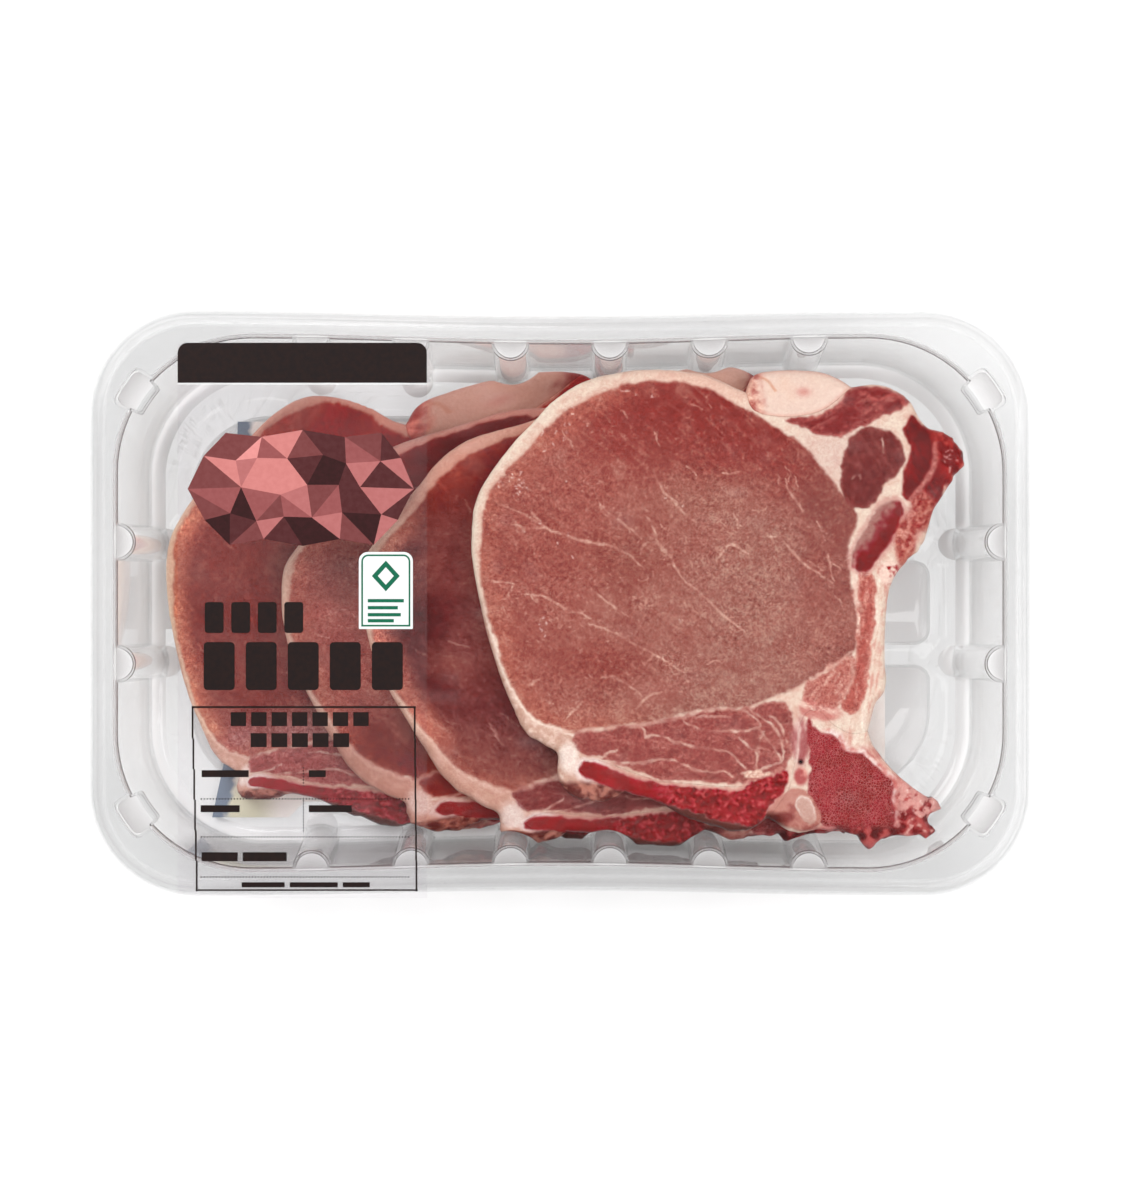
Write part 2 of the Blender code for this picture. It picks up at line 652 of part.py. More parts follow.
def build_chops():
    """Four chops, each lying on the one before and reaching further right."""
    base = WALL + PANEL_RISE + PAD_THICKNESS + 2.0 * GAP
    pitch = CHOP_THICKNESS + CROWN + GAP
    mats = {
        "meat": material("raw_pork", (0.55, 0.17, 0.15), 0.35),
        "rib_bone": material("rib_bone", (0.5, 0.06, 0.06), 0.4),
        "chine_bone": material("chine_bone", (0.45, 0.07, 0.07), 0.45),
        "cartilage": material("cartilage", (0.86, 0.66, 0.58), 0.35),
    }
    ends = []
    for number in (1, 2, 3, 4):
        outlines = chop_outlines(chop_curves(number))
        reach_left = min(x for x, _ in outlines["meat"])
        reach_right = max(x for outline in outlines.values() for x, _ in outline)
        earlier = list(ends)

        def floor_at(x):
            drop = sum(smoothstep(end, end + DROOP_LENGTH, x) for end in earlier)
            return base + pitch * (len(earlier) - DROOP * drop)

        def crown_at(x, y):
            along = (x - reach_left) / (reach_right - reach_left)
            across = math.cos(math.pi / 2.0 * y / CROWN_HALF_WIDTH) ** 2
            return CROWN * math.sin(math.pi * min(max(along, 0.0), 1.0)) * across

        for kind, outline in outlines.items():
            slab("chop_%d_%s" % (number, kind), outline, floor_at, crown_at, mats[kind])
        ends.append(reach_right)


def main():
    """Clear the scene and build the pack."""
    for old in list(bpy.data.objects):
        bpy.data.objects.remove(old, do_unlink=True)
    build_tray()
    build_film()
    build_label()
    build_pad()
    build_chops()


main()
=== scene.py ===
"""Looks of the sealed tray of bone-in pork chops: clear sheet, lid film, printed label, pad and meat.

Sizes here are in millimetres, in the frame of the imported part; meshes are made in metres.
"""

import math

import bpy
import numpy as np
from mathutils.geometry import delaunay_2d_cdt
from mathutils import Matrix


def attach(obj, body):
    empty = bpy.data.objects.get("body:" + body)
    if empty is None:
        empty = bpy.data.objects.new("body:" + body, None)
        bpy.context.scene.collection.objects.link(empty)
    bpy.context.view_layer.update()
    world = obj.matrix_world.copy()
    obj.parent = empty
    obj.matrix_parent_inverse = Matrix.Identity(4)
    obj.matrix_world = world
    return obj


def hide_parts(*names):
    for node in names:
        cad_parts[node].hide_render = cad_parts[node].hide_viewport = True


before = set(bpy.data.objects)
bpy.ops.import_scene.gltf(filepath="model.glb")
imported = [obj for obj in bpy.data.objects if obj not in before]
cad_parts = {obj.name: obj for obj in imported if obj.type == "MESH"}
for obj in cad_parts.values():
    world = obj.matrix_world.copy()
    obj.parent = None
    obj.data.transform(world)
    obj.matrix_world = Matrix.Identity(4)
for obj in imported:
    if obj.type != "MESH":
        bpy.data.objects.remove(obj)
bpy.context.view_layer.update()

METRES = 0.001
GAP = 0.3
ROOT = "root"

# Tray sizes, as in the solids
TOP = 45.0
WALL = 0.6
OUTER = (115.0, 71.6, 26.0, 1.3)
MOUTH = (108.3, 64.9, 33.0, 1.5)
SHOULDER = 2.2
SKIRT_DROP = 3.2
STEP_DROP = 1.2
LEDGE_INSET = 0.35
DRAFT = math.tan(math.radians(5.0))
FLOOR_FILLET = 4.0
RIB_HALF_WIDTH = 4.6
RIB_DEPTH_LONG = 4.1
RIB_DEPTH_SHORT = 4.4
RIBS_LONG = [24.3 * (i - 2.5) for i in range(6)]
RIBS_SHORT = [-14.9, 14.9]
LUG_ANGLE = 34.8
LUG_OUT = 4.3
LUG_IN = 2.8
LUG_DROP = 8.0
PANEL_HALF_LENGTH = 94.0
PANEL_OUTER_RADIUS = 20.0
PANEL_INNER_RADIUS = 4.0
PANEL_RISE = 0.9
PANEL_ROWS = [(-47.5, -15.8), (-10.7, 10.7), (15.8, 47.5)]
FILM_THICKNESS = 0.2
LABEL_THICKNESS = 0.15
LABEL_SPAN = (-93.1, -32.4)
LABEL_TOP = 63.3
LABEL_TURN_DOWN = 2.8
PAD_THICKNESS = 1.5
PAD_OUTLINE = [(82.4, -50.5), (82.4, 46.0), (-82.0, 46.0), (-84.5, -36.0), (-88.5, -54.5), (-69.0, -54.5),
               (-65.0, -50.5)]

# Chop sizes, as in the solids
CHOP_THICKNESS = 8.4
CROWN = 0.6
CROWN_HALF_WIDTH = 94.0
DROOP = 0.15
DROOP_LENGTH = 40.0
PRESS_EASE = 2.0
RIB_ROOM = 2.0
RIB_FULLNESS = 0.7
TOP_CHOP_CENTRE = (29.4, 10.5)
RIM_ROUND = 2.1
FOOT_SOFTENING = 3

# One chop, round the middle of its eye muscle: open curves between shared corner points
RIB_CORNER = (-13.8, -57.0)
RIB_CHINE_TOP = (26.8, -56.2)
RIB_CHINE_FOOT = (21.6, -63.3)
CHINE_TOP = (46.2, -41.8)
CARTILAGE_LEFT = (16.2, 41.2)
CARTILAGE_RIGHT = (42.2, 42.5)
CURVES = {
    "back": [RIB_CORNER, (-17.4, -58.7), (-22.4, -59.2), (-27.4, -57.0), (-30.0, -53.0), (-30.2, -47.4),
             (-33.6, -45.2), (-38.4, -41.6), (-42.6, -32.4), (-46.5, -21.0), (-49.5, -8.5), (-51.1, 2.5),
             (-50.3, 13.6), (-46.6, 21.2), (-41.2, 28.2), (-36.2, 33.6), (-30.8, 39.2), (-22.3, 44.2),
             (-9.8, 46.6), (4.9, 45.6), CARTILAGE_LEFT],
    "cartilage_seam": [CARTILAGE_LEFT, (17.7, 37.1), (22.3, 35.3), (29.5, 35.3), (35.6, 37.1),
                       CARTILAGE_RIGHT],
    "cartilage_edge": [CARTILAGE_LEFT, (18.2, 45.3), (24.5, 46.6), (32.9, 46.4), (38.3, 44.8),
                       CARTILAGE_RIGHT],
    "chine_side": [CARTILAGE_RIGHT, (49.6, 43.0), (56.0, 39.6), (60.1, 33.6), (66.4, 30.4), (70.2, 25.3),
                   (66.4, 18.2), (62.6, 12.6), (59.6, 4.0), (52.2, -5.4), (50.3, -19.6), (50.6, -31.0),
                   (48.0, -35.6), CHINE_TOP],
    "chine_seam": [CHINE_TOP, (42.4, -42.6), (38.0, -40.7), (33.4, -36.6), (29.6, -39.4), (28.4, -48.0),
                   RIB_CHINE_TOP],
    "chine_edge": [CHINE_TOP, (47.6, -45.6), (51.2, -50.4), (55.4, -54.4), (59.8, -57.6), (63.6, -60.6),
                   (61.2, -64.0), (63.4, -67.4), (57.7, -68.0), (51.6, -67.8), (46.8, -71.2), (42.2, -67.2),
                   (35.3, -66.3), (27.5, -66.5), RIB_CHINE_FOOT],
    "rib_chine": [RIB_CHINE_TOP, RIB_CHINE_FOOT],
    "rib_edge": [RIB_CHINE_FOOT, (16.4, -66.4), (9.0, -65.4), (1.0, -62.8), (-6.4, -59.0), RIB_CORNER],
    "rib_seam": [RIB_CHINE_TOP, (22.1, -54.4), (14.0, -55.6), (2.5, -54.8), (-5.6, -54.1), (-14.0, -51.2),
                 (-21.0, -48.9), (-24.8, -50.4), (-21.8, -54.2), RIB_CORNER],
}
LANDMARKS = [(-51.1, 2.5), (-44.9, -27.0), (-31.4, -45.4), (-23.8, -50.3), (-21.6, -58.2), (-44.2, 25.8),
             (-34.4, 36.3), (-9.8, 46.7), (16.2, 41.3), (42.2, 42.5), (70.2, 25.3), (50.3, -19.6),
             (50.3, -45.4), (63.6, -60.1), (21.6, -63.3)]
LOWER_CHOPS = {
    1: [(-99.2, 2.7), (-93.2, -25.7), (-81.4, -41.8), (-77.9, -44.6), (-75.1, -48.9), (-92.2, 27.9),
        (-76.4, 44.2), (-56.2, 51.8), (-39.1, 45.0), (5.4, 57.6), (25.0, 41.0), (7.4, -9.4),
        (-0.1, -33.8), (11.5, -48.9), (-31.6, -54.2)],
    2: [(-69.7, 1.2), (-64.9, -20.0), (-41.3, -47.9), (-30.0, -50.7), (-27.5, -56.2), (-63.2, 18.2),
        (-52.5, 31.1), (-28.5, 43.4), (-0.1, 48.6), (29.8, 55.1), (52.3, 40.6), (34.8, -9.3),
        (36.1, -35.5), (49.8, -49.2), (12.4, -55.7)],
    3: [(-49.3, 1.7), (-42.9, -21.3), (-17.4, -50.2), (-7.5, -53.9), (-6.3, -58.9), (-42.9, 20.5),
        (-32.2, 33.3), (-10.0, 44.2), (19.7, 50.6), (48.6, 56.0), (71.6, 40.3), (56.8, -9.2),
        (59.3, -35.2), (71.6, -48.8), (35.8, -56.7)],
}

# Muscles inside one chop, in its own frame
EYE = [(-25.8, -42.5), (-31.4, -40.6), (-35.0, -39.0), (-39.0, -35.0), (-43.0, -27.6), (-45.0, -20.0),
       (-48.3, -8.4), (-49.0, 3.1), (-47.0, 16.1), (-38.2, 26.3), (-29.5, 35.3), (-18.9, 41.2),
       (-7.4, 43.9), (4.9, 42.5), (13.7, 38.3),
       (23.8, 32.6), (31.2, 27.0), (38.3, 18.2), (42.7, 13.0), (43.4, 9.8), (42.0, 5.2), (41.2, 0.0),
       (43.0, -9.8), (43.9, -16.0), (42.0, -23.3), (31.4, -29.9), (16.2, -36.1), (6.4, -36.6),
       (-8.1, -39.8), (-21.1, -41.2)]
MUSCLE_A = [(42.2, 42.5), (45.7, 42.7), (49.6, 42.5), (53.0, 41.0), (56.5, 38.8), (52.3, 36.3), (46.9, 34.1),
            (43.0, 31.9), (39.5, 30.2), (35.6, 30.4), (31.2, 31.9), (25.7, 34.3), (33.1, 35.2), (38.0, 38.0)]
MUSCLE_B = [(45.7, 32.6), (52.8, 30.4), (55.2, 24.3), (51.3, 19.9), (47.4, 14.2), (44.7, 13.0), (41.7, 13.7),
            (39.5, 19.1), (41.2, 28.0)]
MUSCLE_C = [(56.9, 35.8), (60.1, 32.6), (63.6, 31.4), (68.0, 28.2), (70.2, 25.3), (68.0, 21.4), (65.0, 18.2),
            (64.8, 15.2), (60.1, 12.8), (55.2, 15.5), (55.0, 20.9), (56.7, 27.0), (55.2, 31.9)]
MARROW = [(53.5, 14.2), (54.5, 11.0), (52.3, 6.1), (49.1, 1.2), (45.7, -2.5), (42.5, -2.0), (42.2, 1.2),
          (44.7, 6.1), (47.6, 11.0), (50.6, 14.0)]
INTERCOSTAL = [(-25.8, -42.9), (-21.1, -41.8), (-8.1, -40.3), (6.4, -37.2), (16.2, -36.7), (24.5, -35.0),
               (27.0, -38.0), (27.2, -45.4), (25.4, -50.3), (20.9, -53.3), (15.7, -54.2), (2.5, -53.6),
               (-5.4, -53.1), (-12.0, -50.6), (-19.6, -48.0), (-24.5, -46.6)]
STRIP_MUSCLE = [(44.2, -3.1), (47.6, -4.4), (47.8, -12.0), (46.9, -20.7), (46.3, -27.5), (45.2, -33.8),
                (42.5, -37.5), (39.3, -35.6), (41.9, -29.5), (43.0, -23.0), (43.7, -14.7)]
CORNER_MUSCLE = [(31.4, -30.4), (42.0, -23.8), (40.7, -31.9), (36.8, -36.3), (31.4, -36.0)]
JOINT = [(27.0, -56.2), (30.3, -56.2), (33.0, -58.9), (34.6, -62.7), (33.8, -65.4), (29.7, -66.6),
         (25.9, -65.4), (21.0, -62.7), (23.7, -58.9)]
JOINT_OVAL = [(28.2, -58.7), (29.6, -57.7), (31.4, -58.0), (32.7, -60.0), (33.4, -62.9), (32.5, -64.7),
              (30.6, -64.2), (28.9, -62.0), (28.0, -60.3)]
POROUS = [(31.3, -38.9), (34.1, -42.5), (37.9, -43.6), (40.6, -47.4), (45.0, -48.0), (47.7, -50.7),
          (52.1, -54.5), (51.5, -58.9), (52.6, -62.2), (50.5, -66.0), (35.7, -64.9), (34.1, -62.2),
          (31.4, -56.7), (32.0, -51.3), (31.5, -44.7)]

RIB_RED_PART = [(-24.4, -50.6), (-23.0, -49.7), (-20.4, -50.2), (-16.6, -51.5), (-13.5, -52.9),
                (-10.4, -54.0), (-5.8, -54.8), (-1.2, -55.5), (4.9, -56.2), (9.8, -56.6), (14.2, -56.6),
                (17.5, -55.0), (22.0, -53.2), (26.0, -51.8), (25.8, -55.5), (22.0, -60.0), (19.8, -64.2),
                (16.4, -65.0), (10.9, -64.0), (4.9, -62.0), (-2.7, -59.9), (-7.3, -58.4), (-10.4, -57.3),
                (-13.5, -56.6), (-16.6, -55.6), (-20.4, -54.1), (-23.4, -52.9), (-24.6, -51.8)]

# Fat veins of the top chop's eye muscle, and the pale seams between the small muscles: (half width, line)
VEINS = [
    (0.42, [(-43.6, 13.4), (-37.6, 10.9), (-33.0, 7.9), (-27.8, 5.9), (-21.8, 4.2), (-17.5, 3.6),
            (-12.5, 1.1), (-8.7, -2.2)]),
    (0.36, [(-33.0, 7.9), (-36.0, 11.2), (-38.2, 13.4)]),
    (0.3, [(-33.0, 7.9), (-37.6, 7.9), (-41.5, 8.7)]),
    (0.45, [(-8.2, 10.7), (-6.5, 7.4), (-5.5, 4.1), (-2.5, 1.1), (-1.1, -2.2), (0.5, -4.6)]),
    (0.32, [(0.5, -4.6), (6.0, -9.0), (11.5, -14.4), (16.0, -17.6)]),
    (0.48, [(-5.5, 4.1), (-7.9, 4.2), (-9.3, 3.0), (-9.9, 1.4)]),
    (0.28, [(-19.6, 13.4), (-15.8, 10.1), (-12.0, 7.4), (-9.5, 5.2)]),
    (0.34, [(-6.5, 22.1), (-4.4, 17.2), (-1.6, 14.5), (1.1, 11.2), (3.8, 9.3)]),
    (0.36, [(8.2, -1.6), (12.0, 3.6), (16.9, 1.4)]),
    (0.36, [(-38.2, -8.2), (-33.3, -9.0), (-29.5, -11.2), (-24.5, -13.1), (-21.8, -14.4)]),
    (0.28, [(-48.0, -4.9), (-45.3, -5.2), (-40.9, -5.7)]),
    (0.3, [(-20.2, -8.4), (-15.8, -11.7), (-12.5, -13.9)]),
    (0.4, [(19.4, 5.7), (23.7, 5.5), (25.4, 4.4), (28.1, 1.4), (30.8, -1.3), (34.1, -3.5), (37.4, -5.7)]),
    (0.32, [(25.9, 19.9), (26.5, 17.2), (28.6, 14.5), (30.0, 12.0)]),
    (0.26, [(33.5, 9.6), (34.9, 6.8), (35.5, 4.7)]),
    (0.26, [(36.3, 1.4), (37.1, -3.0), (37.9, -5.2)]),
    (0.32, [(-22.4, -15.8), (-16.9, -17.4), (-13.6, -19.1), (-9.8, -21.3), (-6.0, -23.4), (-2.2, -25.6),
            (1.6, -28.1)]),
    (0.32, [(-27.8, -38.7), (-26.2, -37.1), (-24.3, -35.3)]),
    (0.26, [(-19.6, -28.9), (-16.4, -28.6), (-12.0, -31.1), (-9.3, -33.3)]),
    (0.4, [(-10.9, -36.5), (-7.6, -33.3), (-4.6, -32.3)]),
    (0.4, [(-37.4, -31.1), (-34.9, -29.4)]),
]
SEAMS = [
    (0.5, [(-28.9, -41.6), (-26.2, -42.2), (-21.8, -41.6), (-16.4, -40.9), (-10.9, -40.5), (-6.0, -39.9),
           (-2.2, -39.0), (0.0, -38.2)]),
    (0.75, [(-8.0, -40.2), (-3.6, -39.4), (0.6, -38.2), (4.6, -37.2)]),
    (0.4, [(0.0, -38.2), (3.3, -37.3), (8.2, -36.8), (13.6, -36.5), (16.9, -36.3), (19.6, -35.4),
           (23.5, -33.8)]),
    (0.3, [(0.0, -38.2), (1.6, -40.1), (5.5, -41.5), (9.8, -42.0), (15.3, -41.7), (18.5, -41.4),
           (19.5, -40.3), (17.7, -38.2), (15.3, -36.8)]),
    (0.28, [(-10.9, -40.1), (-8.7, -42.0), (-8.5, -43.2), (-6.0, -43.1), (-2.2, -44.2), (2.2, -45.5),
            (7.6, -46.3), (12.0, -47.2), (14.8, -49.8), (16.4, -51.4)]),
    (0.3, [(-25.1, -47.7), (-19.6, -48.0), (-15.3, -46.3)]),
    (0.24, [(-24.5, -48.0), (-18.5, -49.1), (-14.2, -49.6), (-10.9, -49.6), (-7.6, -49.3), (-3.8, -48.8),
            (0.0, -49.6), (3.3, -51.3), (7.6, -51.8), (10.9, -51.8), (12.5, -52.9)]),
    (0.24, [(20.4, -42.2), (19.2, -45.4), (18.6, -49.6), (18.4, -52.0)]),
    (0.2, [(14.4, -43.4), (16.9, -45.6), (19.2, -47.0)]),
    (0.22, [(16.9, -36.5), (20.7, -39.3), (24.0, -42.0), (25.4, -45.6), (25.0, -49.8)]),
    (0.2, [(21.8, -38.2), (24.6, -40.6), (26.2, -44.6)]),
    (0.2, [(19.1, -41.4), (22.0, -44.6), (24.9, -49.4)]),
    (0.24, [(18.5, -52.3), (21.2, -50.6), (25.0, -49.8)]),
    (0.2, [(3.4, -38.6), (7.8, -38.2), (12.6, -38.6)]),
    (0.45, [(31.4, -29.4), (35.2, -27.3), (39.5, -24.5), (42.3, -22.3)]),
    (0.6, [(28.8, -31.6), (28.0, -35.4), (28.5, -40.3), (29.4, -45.3), (30.1, -48.6)]),
    (1.1, [(26.2, -32.0), (28.6, -32.0), (30.6, -30.2)]),
    (0.35, [(28.6, -32.2), (23.2, -33.8), (16.6, -36.4)]),
    (0.3, [(41.4, -23.6), (42.4, -28.4), (40.6, -34.0)]),
    (0.12, [(49.4, 29.8), (50.0, 28.2), (49.8, 26.4)]),
    (0.3, [(53.6, 19.6), (51.4, 18.6), (49.4, 18.0)]),
    (0.16, [(42.2, 20.2), (43.4, 21.0), (44.2, 20.0)]),
]

# Painted wet highlights on the top chop: count, centre, spread, half width
PAINTED_GLINTS = [
    (20, (-40.5, 18.0), (2.6, 2.4), 0.18),
    (12, (-29.0, 32.0), (2.6, 3.6), 0.18),
    (3, (-13.4, 41.7), (1.2, 0.4), 0.4),
    (10, (-28.6, 41.0), (3.2, 1.8), 0.22),
    (6, (-33.2, -15.4), (0.9, 1.6), 0.26),
    (12, (-22.0, 8.0), (15.0, 18.0), 0.18),
    (14, (66.6, 25.5), (1.3, 2.4), 0.3),
    (12, (58.0, -58.5), (3.2, 2.6), 0.24),
]

# Multipliers for the lean of the lower chops: near the rim, low, in the middle and high; partly their own
# darker colour, partly painted shade from the chop above
TONES = {
    1: ((1.35, 1.38, 1.26), (1.04, 1.00, 1.07), (0.87, 0.58, 0.57), (1.13, 0.58, 0.55)),
    2: ((1.15, 1.10, 1.08), (0.76, 0.41, 0.39), (1.11, 1.00, 1.00), (0.76, 0.30, 0.36)),
    3: ((1.34, 1.36, 1.32), (0.73, 0.64, 0.69), (0.71, 0.56, 0.61), (0.83, 0.51, 0.49)),
}

# Soft patches of the top chop's eye muscle: centre, half sizes, colour, strength
PATCHES = [
    ((-20.5, -25.0), (11.0, 6.0), (0.53, 0.225, 0.205), 0.6),
    ((-14.0, 1.0), (9.0, 7.0), (0.55, 0.305, 0.27), 0.6),
    ((5.0, 15.5), (12.0, 7.0), (0.67, 0.48, 0.42), 0.45),
    ((33.0, -13.0), (6.5, 12.0), (0.70, 0.47, 0.42), 0.45),
    ((34.0, 13.0), (6.0, 5.0), (0.51, 0.27, 0.25), 0.65),
    ((-40.0, 4.0), (6.0, 16.0), (0.59, 0.31, 0.28), 0.35),
    ((-5.0, -32.0), (6.0, 3.5), (0.72, 0.46, 0.42), 0.4),
]

# Boxes that hold the eye muscle's flecks of fat: left, low, right, top
EYE_BOX = (-44.0, -38.0, 38.0, 40.0)
FLECKED_BOX = (-46.0, -38.0, 2.0, -4.0)

# Number of the top chop, and how much narrower each chop's rim of fat is at its top
TOP_CHOP = 4
NARROWER_RIM = {1: 1.7, 2: 1.2, 3: 0.3, 4: 0.0}

# Colours as they look, from 0 to 1: the large round muscle
EYE_RED = (0.640, 0.362, 0.325)
EYE_TOP = (0.535, 0.190, 0.180)
EYE_PALE = (0.650, 0.452, 0.405)
EYE_WARM = (0.735, 0.440, 0.375)
EYE_RIGHT = (0.550, 0.305, 0.280)
EYE_BLOTCH = (0.530, 0.245, 0.225)
EYE_FROST = (0.740, 0.530, 0.470)

# Fat, and the pale lines and strands in it; painted light and painted shade on its rounded edge
FAT = (0.915, 0.825, 0.755)
FAT_PINK = (0.845, 0.650, 0.585)
FAT_DEEP = (0.790, 0.615, 0.545)
FAT_TOP = (0.900, 0.735, 0.665)
FAT_STRAND = (0.84, 0.58, 0.53)
FAT_STRAND_PALE = (0.98, 0.92, 0.86)
FAT_GLASSY = (0.90, 0.76, 0.70)
FAT_LINE = (0.97, 0.88, 0.82)
FAT_EDGE_SHADE = (0.76, 0.50, 0.43)
FAT_EDGE_LIGHT = (1.0, 0.93, 0.85)
FAT_COOL = (0.85, 0.72, 0.68)
FAT_LOWER = (0.85, 0.63, 0.55)
VEIN = (0.860, 0.680, 0.610)
BAND_PINK = (0.82, 0.58, 0.53)
RIDGE_PINK = (0.74, 0.38, 0.36)
STRAND_PINK = (0.77, 0.45, 0.42)
STRAND_PALE = (0.93, 0.77, 0.71)
NECK_PINK = (0.63, 0.30, 0.31)
NECK_PALE = (0.88, 0.71, 0.68)

# Marrow of the transverse bone, and the raw flesh, torn bits and wet lump beside it
MARROW_RED = (0.500, 0.040, 0.095)
MARROW_GREY = (0.650, 0.450, 0.420)
MARROW_DARK = (0.42, 0.05, 0.09)
MARROW_PALE = (0.80, 0.60, 0.58)
MARROW_RIM = (0.82, 0.62, 0.58)
RAW_PALE = (0.73, 0.40, 0.35)
RAW_RED = (0.58, 0.20, 0.19)
RAW_CRUMB = (0.87, 0.62, 0.56)
RAW_DARK = (0.50, 0.11, 0.13)
TORN_PALE = (0.95, 0.82, 0.76)
TORN_RED = (0.62, 0.16, 0.18)
LUMP_RED = (0.50, 0.07, 0.08)
LUMP_PINK = (0.76, 0.33, 0.30)
LINE_PALE = (0.91, 0.77, 0.71)

# Chine bone, its skin, its shreds and its ragged end, with painted shade along its lower edge
CHINE_RED = (0.610, 0.195, 0.215)
CHINE_DEEP = (0.530, 0.100, 0.140)
CHINE_PALE = (0.78, 0.45, 0.44)
CHINE_DARK = (0.44, 0.09, 0.12)
CHINE_LATTICE = (0.82, 0.50, 0.49)
SKIN_WHITE = (0.95, 0.86, 0.84)
SKIN_PINK = (0.80, 0.44, 0.42)
SHRED_PALE = (0.90, 0.72, 0.66)
SHRED_RED = (0.70, 0.33, 0.31)
RAGGED_DARK = (0.46, 0.10, 0.12)
RAGGED_PINK = (0.72, 0.33, 0.32)
RAGGED_PALE = (0.90, 0.68, 0.64)
RAGGED_SHADE = (0.36, 0.17, 0.16)

# Joint, its knob and the small vessel
PINK_JOINT = (0.760, 0.520, 0.470)
PINK_JOINT_DIM = (0.60, 0.31, 0.29)
WHITE_JOINT = (0.790, 0.625, 0.575)
WHITE_JOINT_DIM = (0.74, 0.52, 0.47)
JOINT_EDGE = (0.97, 0.89, 0.85)
JOINT_FOOT = (0.50, 0.22, 0.21)
KNOB_PINK = (0.86, 0.56, 0.52)
KNOB_RED = (0.68, 0.30, 0.30)
VESSEL = (0.16, 0.04, 0.05)

# Rib bone, its skin, and the fringe and shade outside it
RIB_RED = (0.620, 0.095, 0.175)
RIB_DEEP = (0.50, 0.06, 0.11)
RIB_EDGE = (0.70, 0.30, 0.30)
RIB_CRUMB = (0.84, 0.42, 0.39)
RIB_DARK = (0.40, 0.04, 0.07)
RIB_SKIN = (0.81, 0.57, 0.52)
RIB_SKIN_WHITE = (0.95, 0.87, 0.84)
RIB_CREST = (0.93, 0.80, 0.72)
RIB_KNOT = (0.965, 0.895, 0.855)
FRINGE_PALE = (0.71, 0.45, 0.39)
FRINGE_DARK = (0.36, 0.14, 0.13)
RIB_SHADE = (0.30, 0.12, 0.11)

# Painted wet highlights, and the sides of a chop, darkened as painted shade
GLINT = (1.0, 0.94, 0.90)
SHADED_SIDE_LEAN = (0.340, 0.150, 0.140)
SHADED_SIDE_FAT = (0.800, 0.600, 0.530)

# Cartilage
CARTILAGE = (0.920, 0.805, 0.745)
CARTILAGE_WARM = (0.925, 0.76, 0.67)
CARTILAGE_PINK = (0.830, 0.560, 0.520)
CARTILAGE_EDGE = (0.88, 0.66, 0.60)
CARTILAGE_CREASE = (0.84, 0.60, 0.50)
CARTILAGE_LOWER = (0.86, 0.66, 0.59)
CARTILAGE_RAW = (0.58, 0.20, 0.20)
CRUMB_PALE = (0.93, 0.72, 0.64)
CRUMB_RED = (0.68, 0.33, 0.30)

# Pad
PAD_WHITE = (0.985, 0.957, 0.935)
PAD_STRIP = (0.45, 0.50, 0.57)
PAD_SOAKED = (0.84, 0.82, 0.72)
PAD_STAIN = (0.86, 0.70, 0.66)

# Grey haze of the tray, which paints shade over its flange; the tray's painted dark lines and painted
# highlights; haze of film and label
TRAY_HAZE_AND_SHADE = (0.45, 0.455, 0.46)
TRAY_PAINTED_SHADE = (0.28, 0.15, 0.16)
TRAY_PAINTED_LIGHT = (0.985, 0.98, 0.98)
FILM_HAZE = (0.97, 0.97, 0.98)
LABEL_HAZE = (0.93, 0.92, 0.93)

# Inks
INK_BLACK = (0.185, 0.15, 0.145)
INK_WHITE = (0.93, 0.94, 0.94)
INK_GREEN = (0.03, 0.42, 0.32)
FACET_SHADES = [(0.88, 0.57, 0.555), (0.81, 0.505, 0.49), (0.71, 0.43, 0.425), (0.59, 0.335, 0.335),
                (0.48, 0.27, 0.27), (0.34, 0.195, 0.2), (0.24, 0.145, 0.15)]

# Small muscles: outline, growth, colour, paler colour, heading of the fibres
MUSCLES = [
    (MUSCLE_A, 0.1, (0.510, 0.190, 0.190), (0.74, 0.43, 0.40), 25.0),
    (MUSCLE_B, 0.2, (0.455, 0.200, 0.195), (0.58, 0.31, 0.29), -55.0),
    (MUSCLE_C, 0.1, (0.425, 0.045, 0.070), (0.60, 0.19, 0.18), -60.0),
    (STRIP_MUSCLE, 0.2, (0.695, 0.355, 0.320), (0.86, 0.62, 0.56), 82.0),
    (CORNER_MUSCLE, 0.5, (0.710, 0.415, 0.375), (0.86, 0.66, 0.60), 55.0),
    (INTERCOSTAL, 0.55, (0.600, 0.310, 0.292), (0.71, 0.45, 0.41), -14.0),
]

# Pale band and ridge across two of them, the line beside the strip muscle, and the cartilage's crease
OUTER_BAND = [(62.8, 28.4), (62.4, 23.0), (59.4, 18.0), (56.4, 14.6)]
UPPER_RIDGE = [(44.0, 41.0), (48.6, 39.4), (52.6, 40.4), (55.6, 38.0)]
STRIP_LINE = [(43.2, 1.0), (42.6, -4.0), (43.6, -12.0), (43.9, -18.0)]
CREASE = [(19.0, 45.6), (21.8, 43.6), (23.4, 41.4)]


# Small tools

# Spans of a line that are searched together
LINE_RUN = 10

# Light that the film adds to what lies under it, and the share of its own light that is left
VEIL = 0.021
FILM_SHARE = 0.775

# Size of the tables of random values
TABLE = 97


def smooth(start, end, value):
    """Ease from 0 at start to 1 at end."""
    t = np.clip((value - start) / (end - start), 0.0, 1.0)
    return t * t * (3.0 - 2.0 * t)


def mix(first, second, share):
    """Blend two colours, or rows of colours, by a share for each row."""
    share = np.reshape(share, (-1, 1))
    return np.asarray(first) * (1.0 - share) + np.asarray(second) * share


def layered(colour, layers):
    """Lay colours over one another, each by its own share."""
    for tone, share in layers:
        colour = mix(colour, tone, share)
    return colour


def under_film(colour):
    """Paint for a colour as it looks through the film, which adds a little light over it."""
    return np.maximum(linear(colour) - VEIL, 0.002) * FILM_SHARE


def linear(colour):
    """Display colour to linear light."""
    colour = np.clip(np.asarray(colour, dtype=float), 0.0, 1.0)
    return np.where(colour <= 0.04045, colour / 12.92, ((colour + 0.055) / 1.055) ** 2.4)


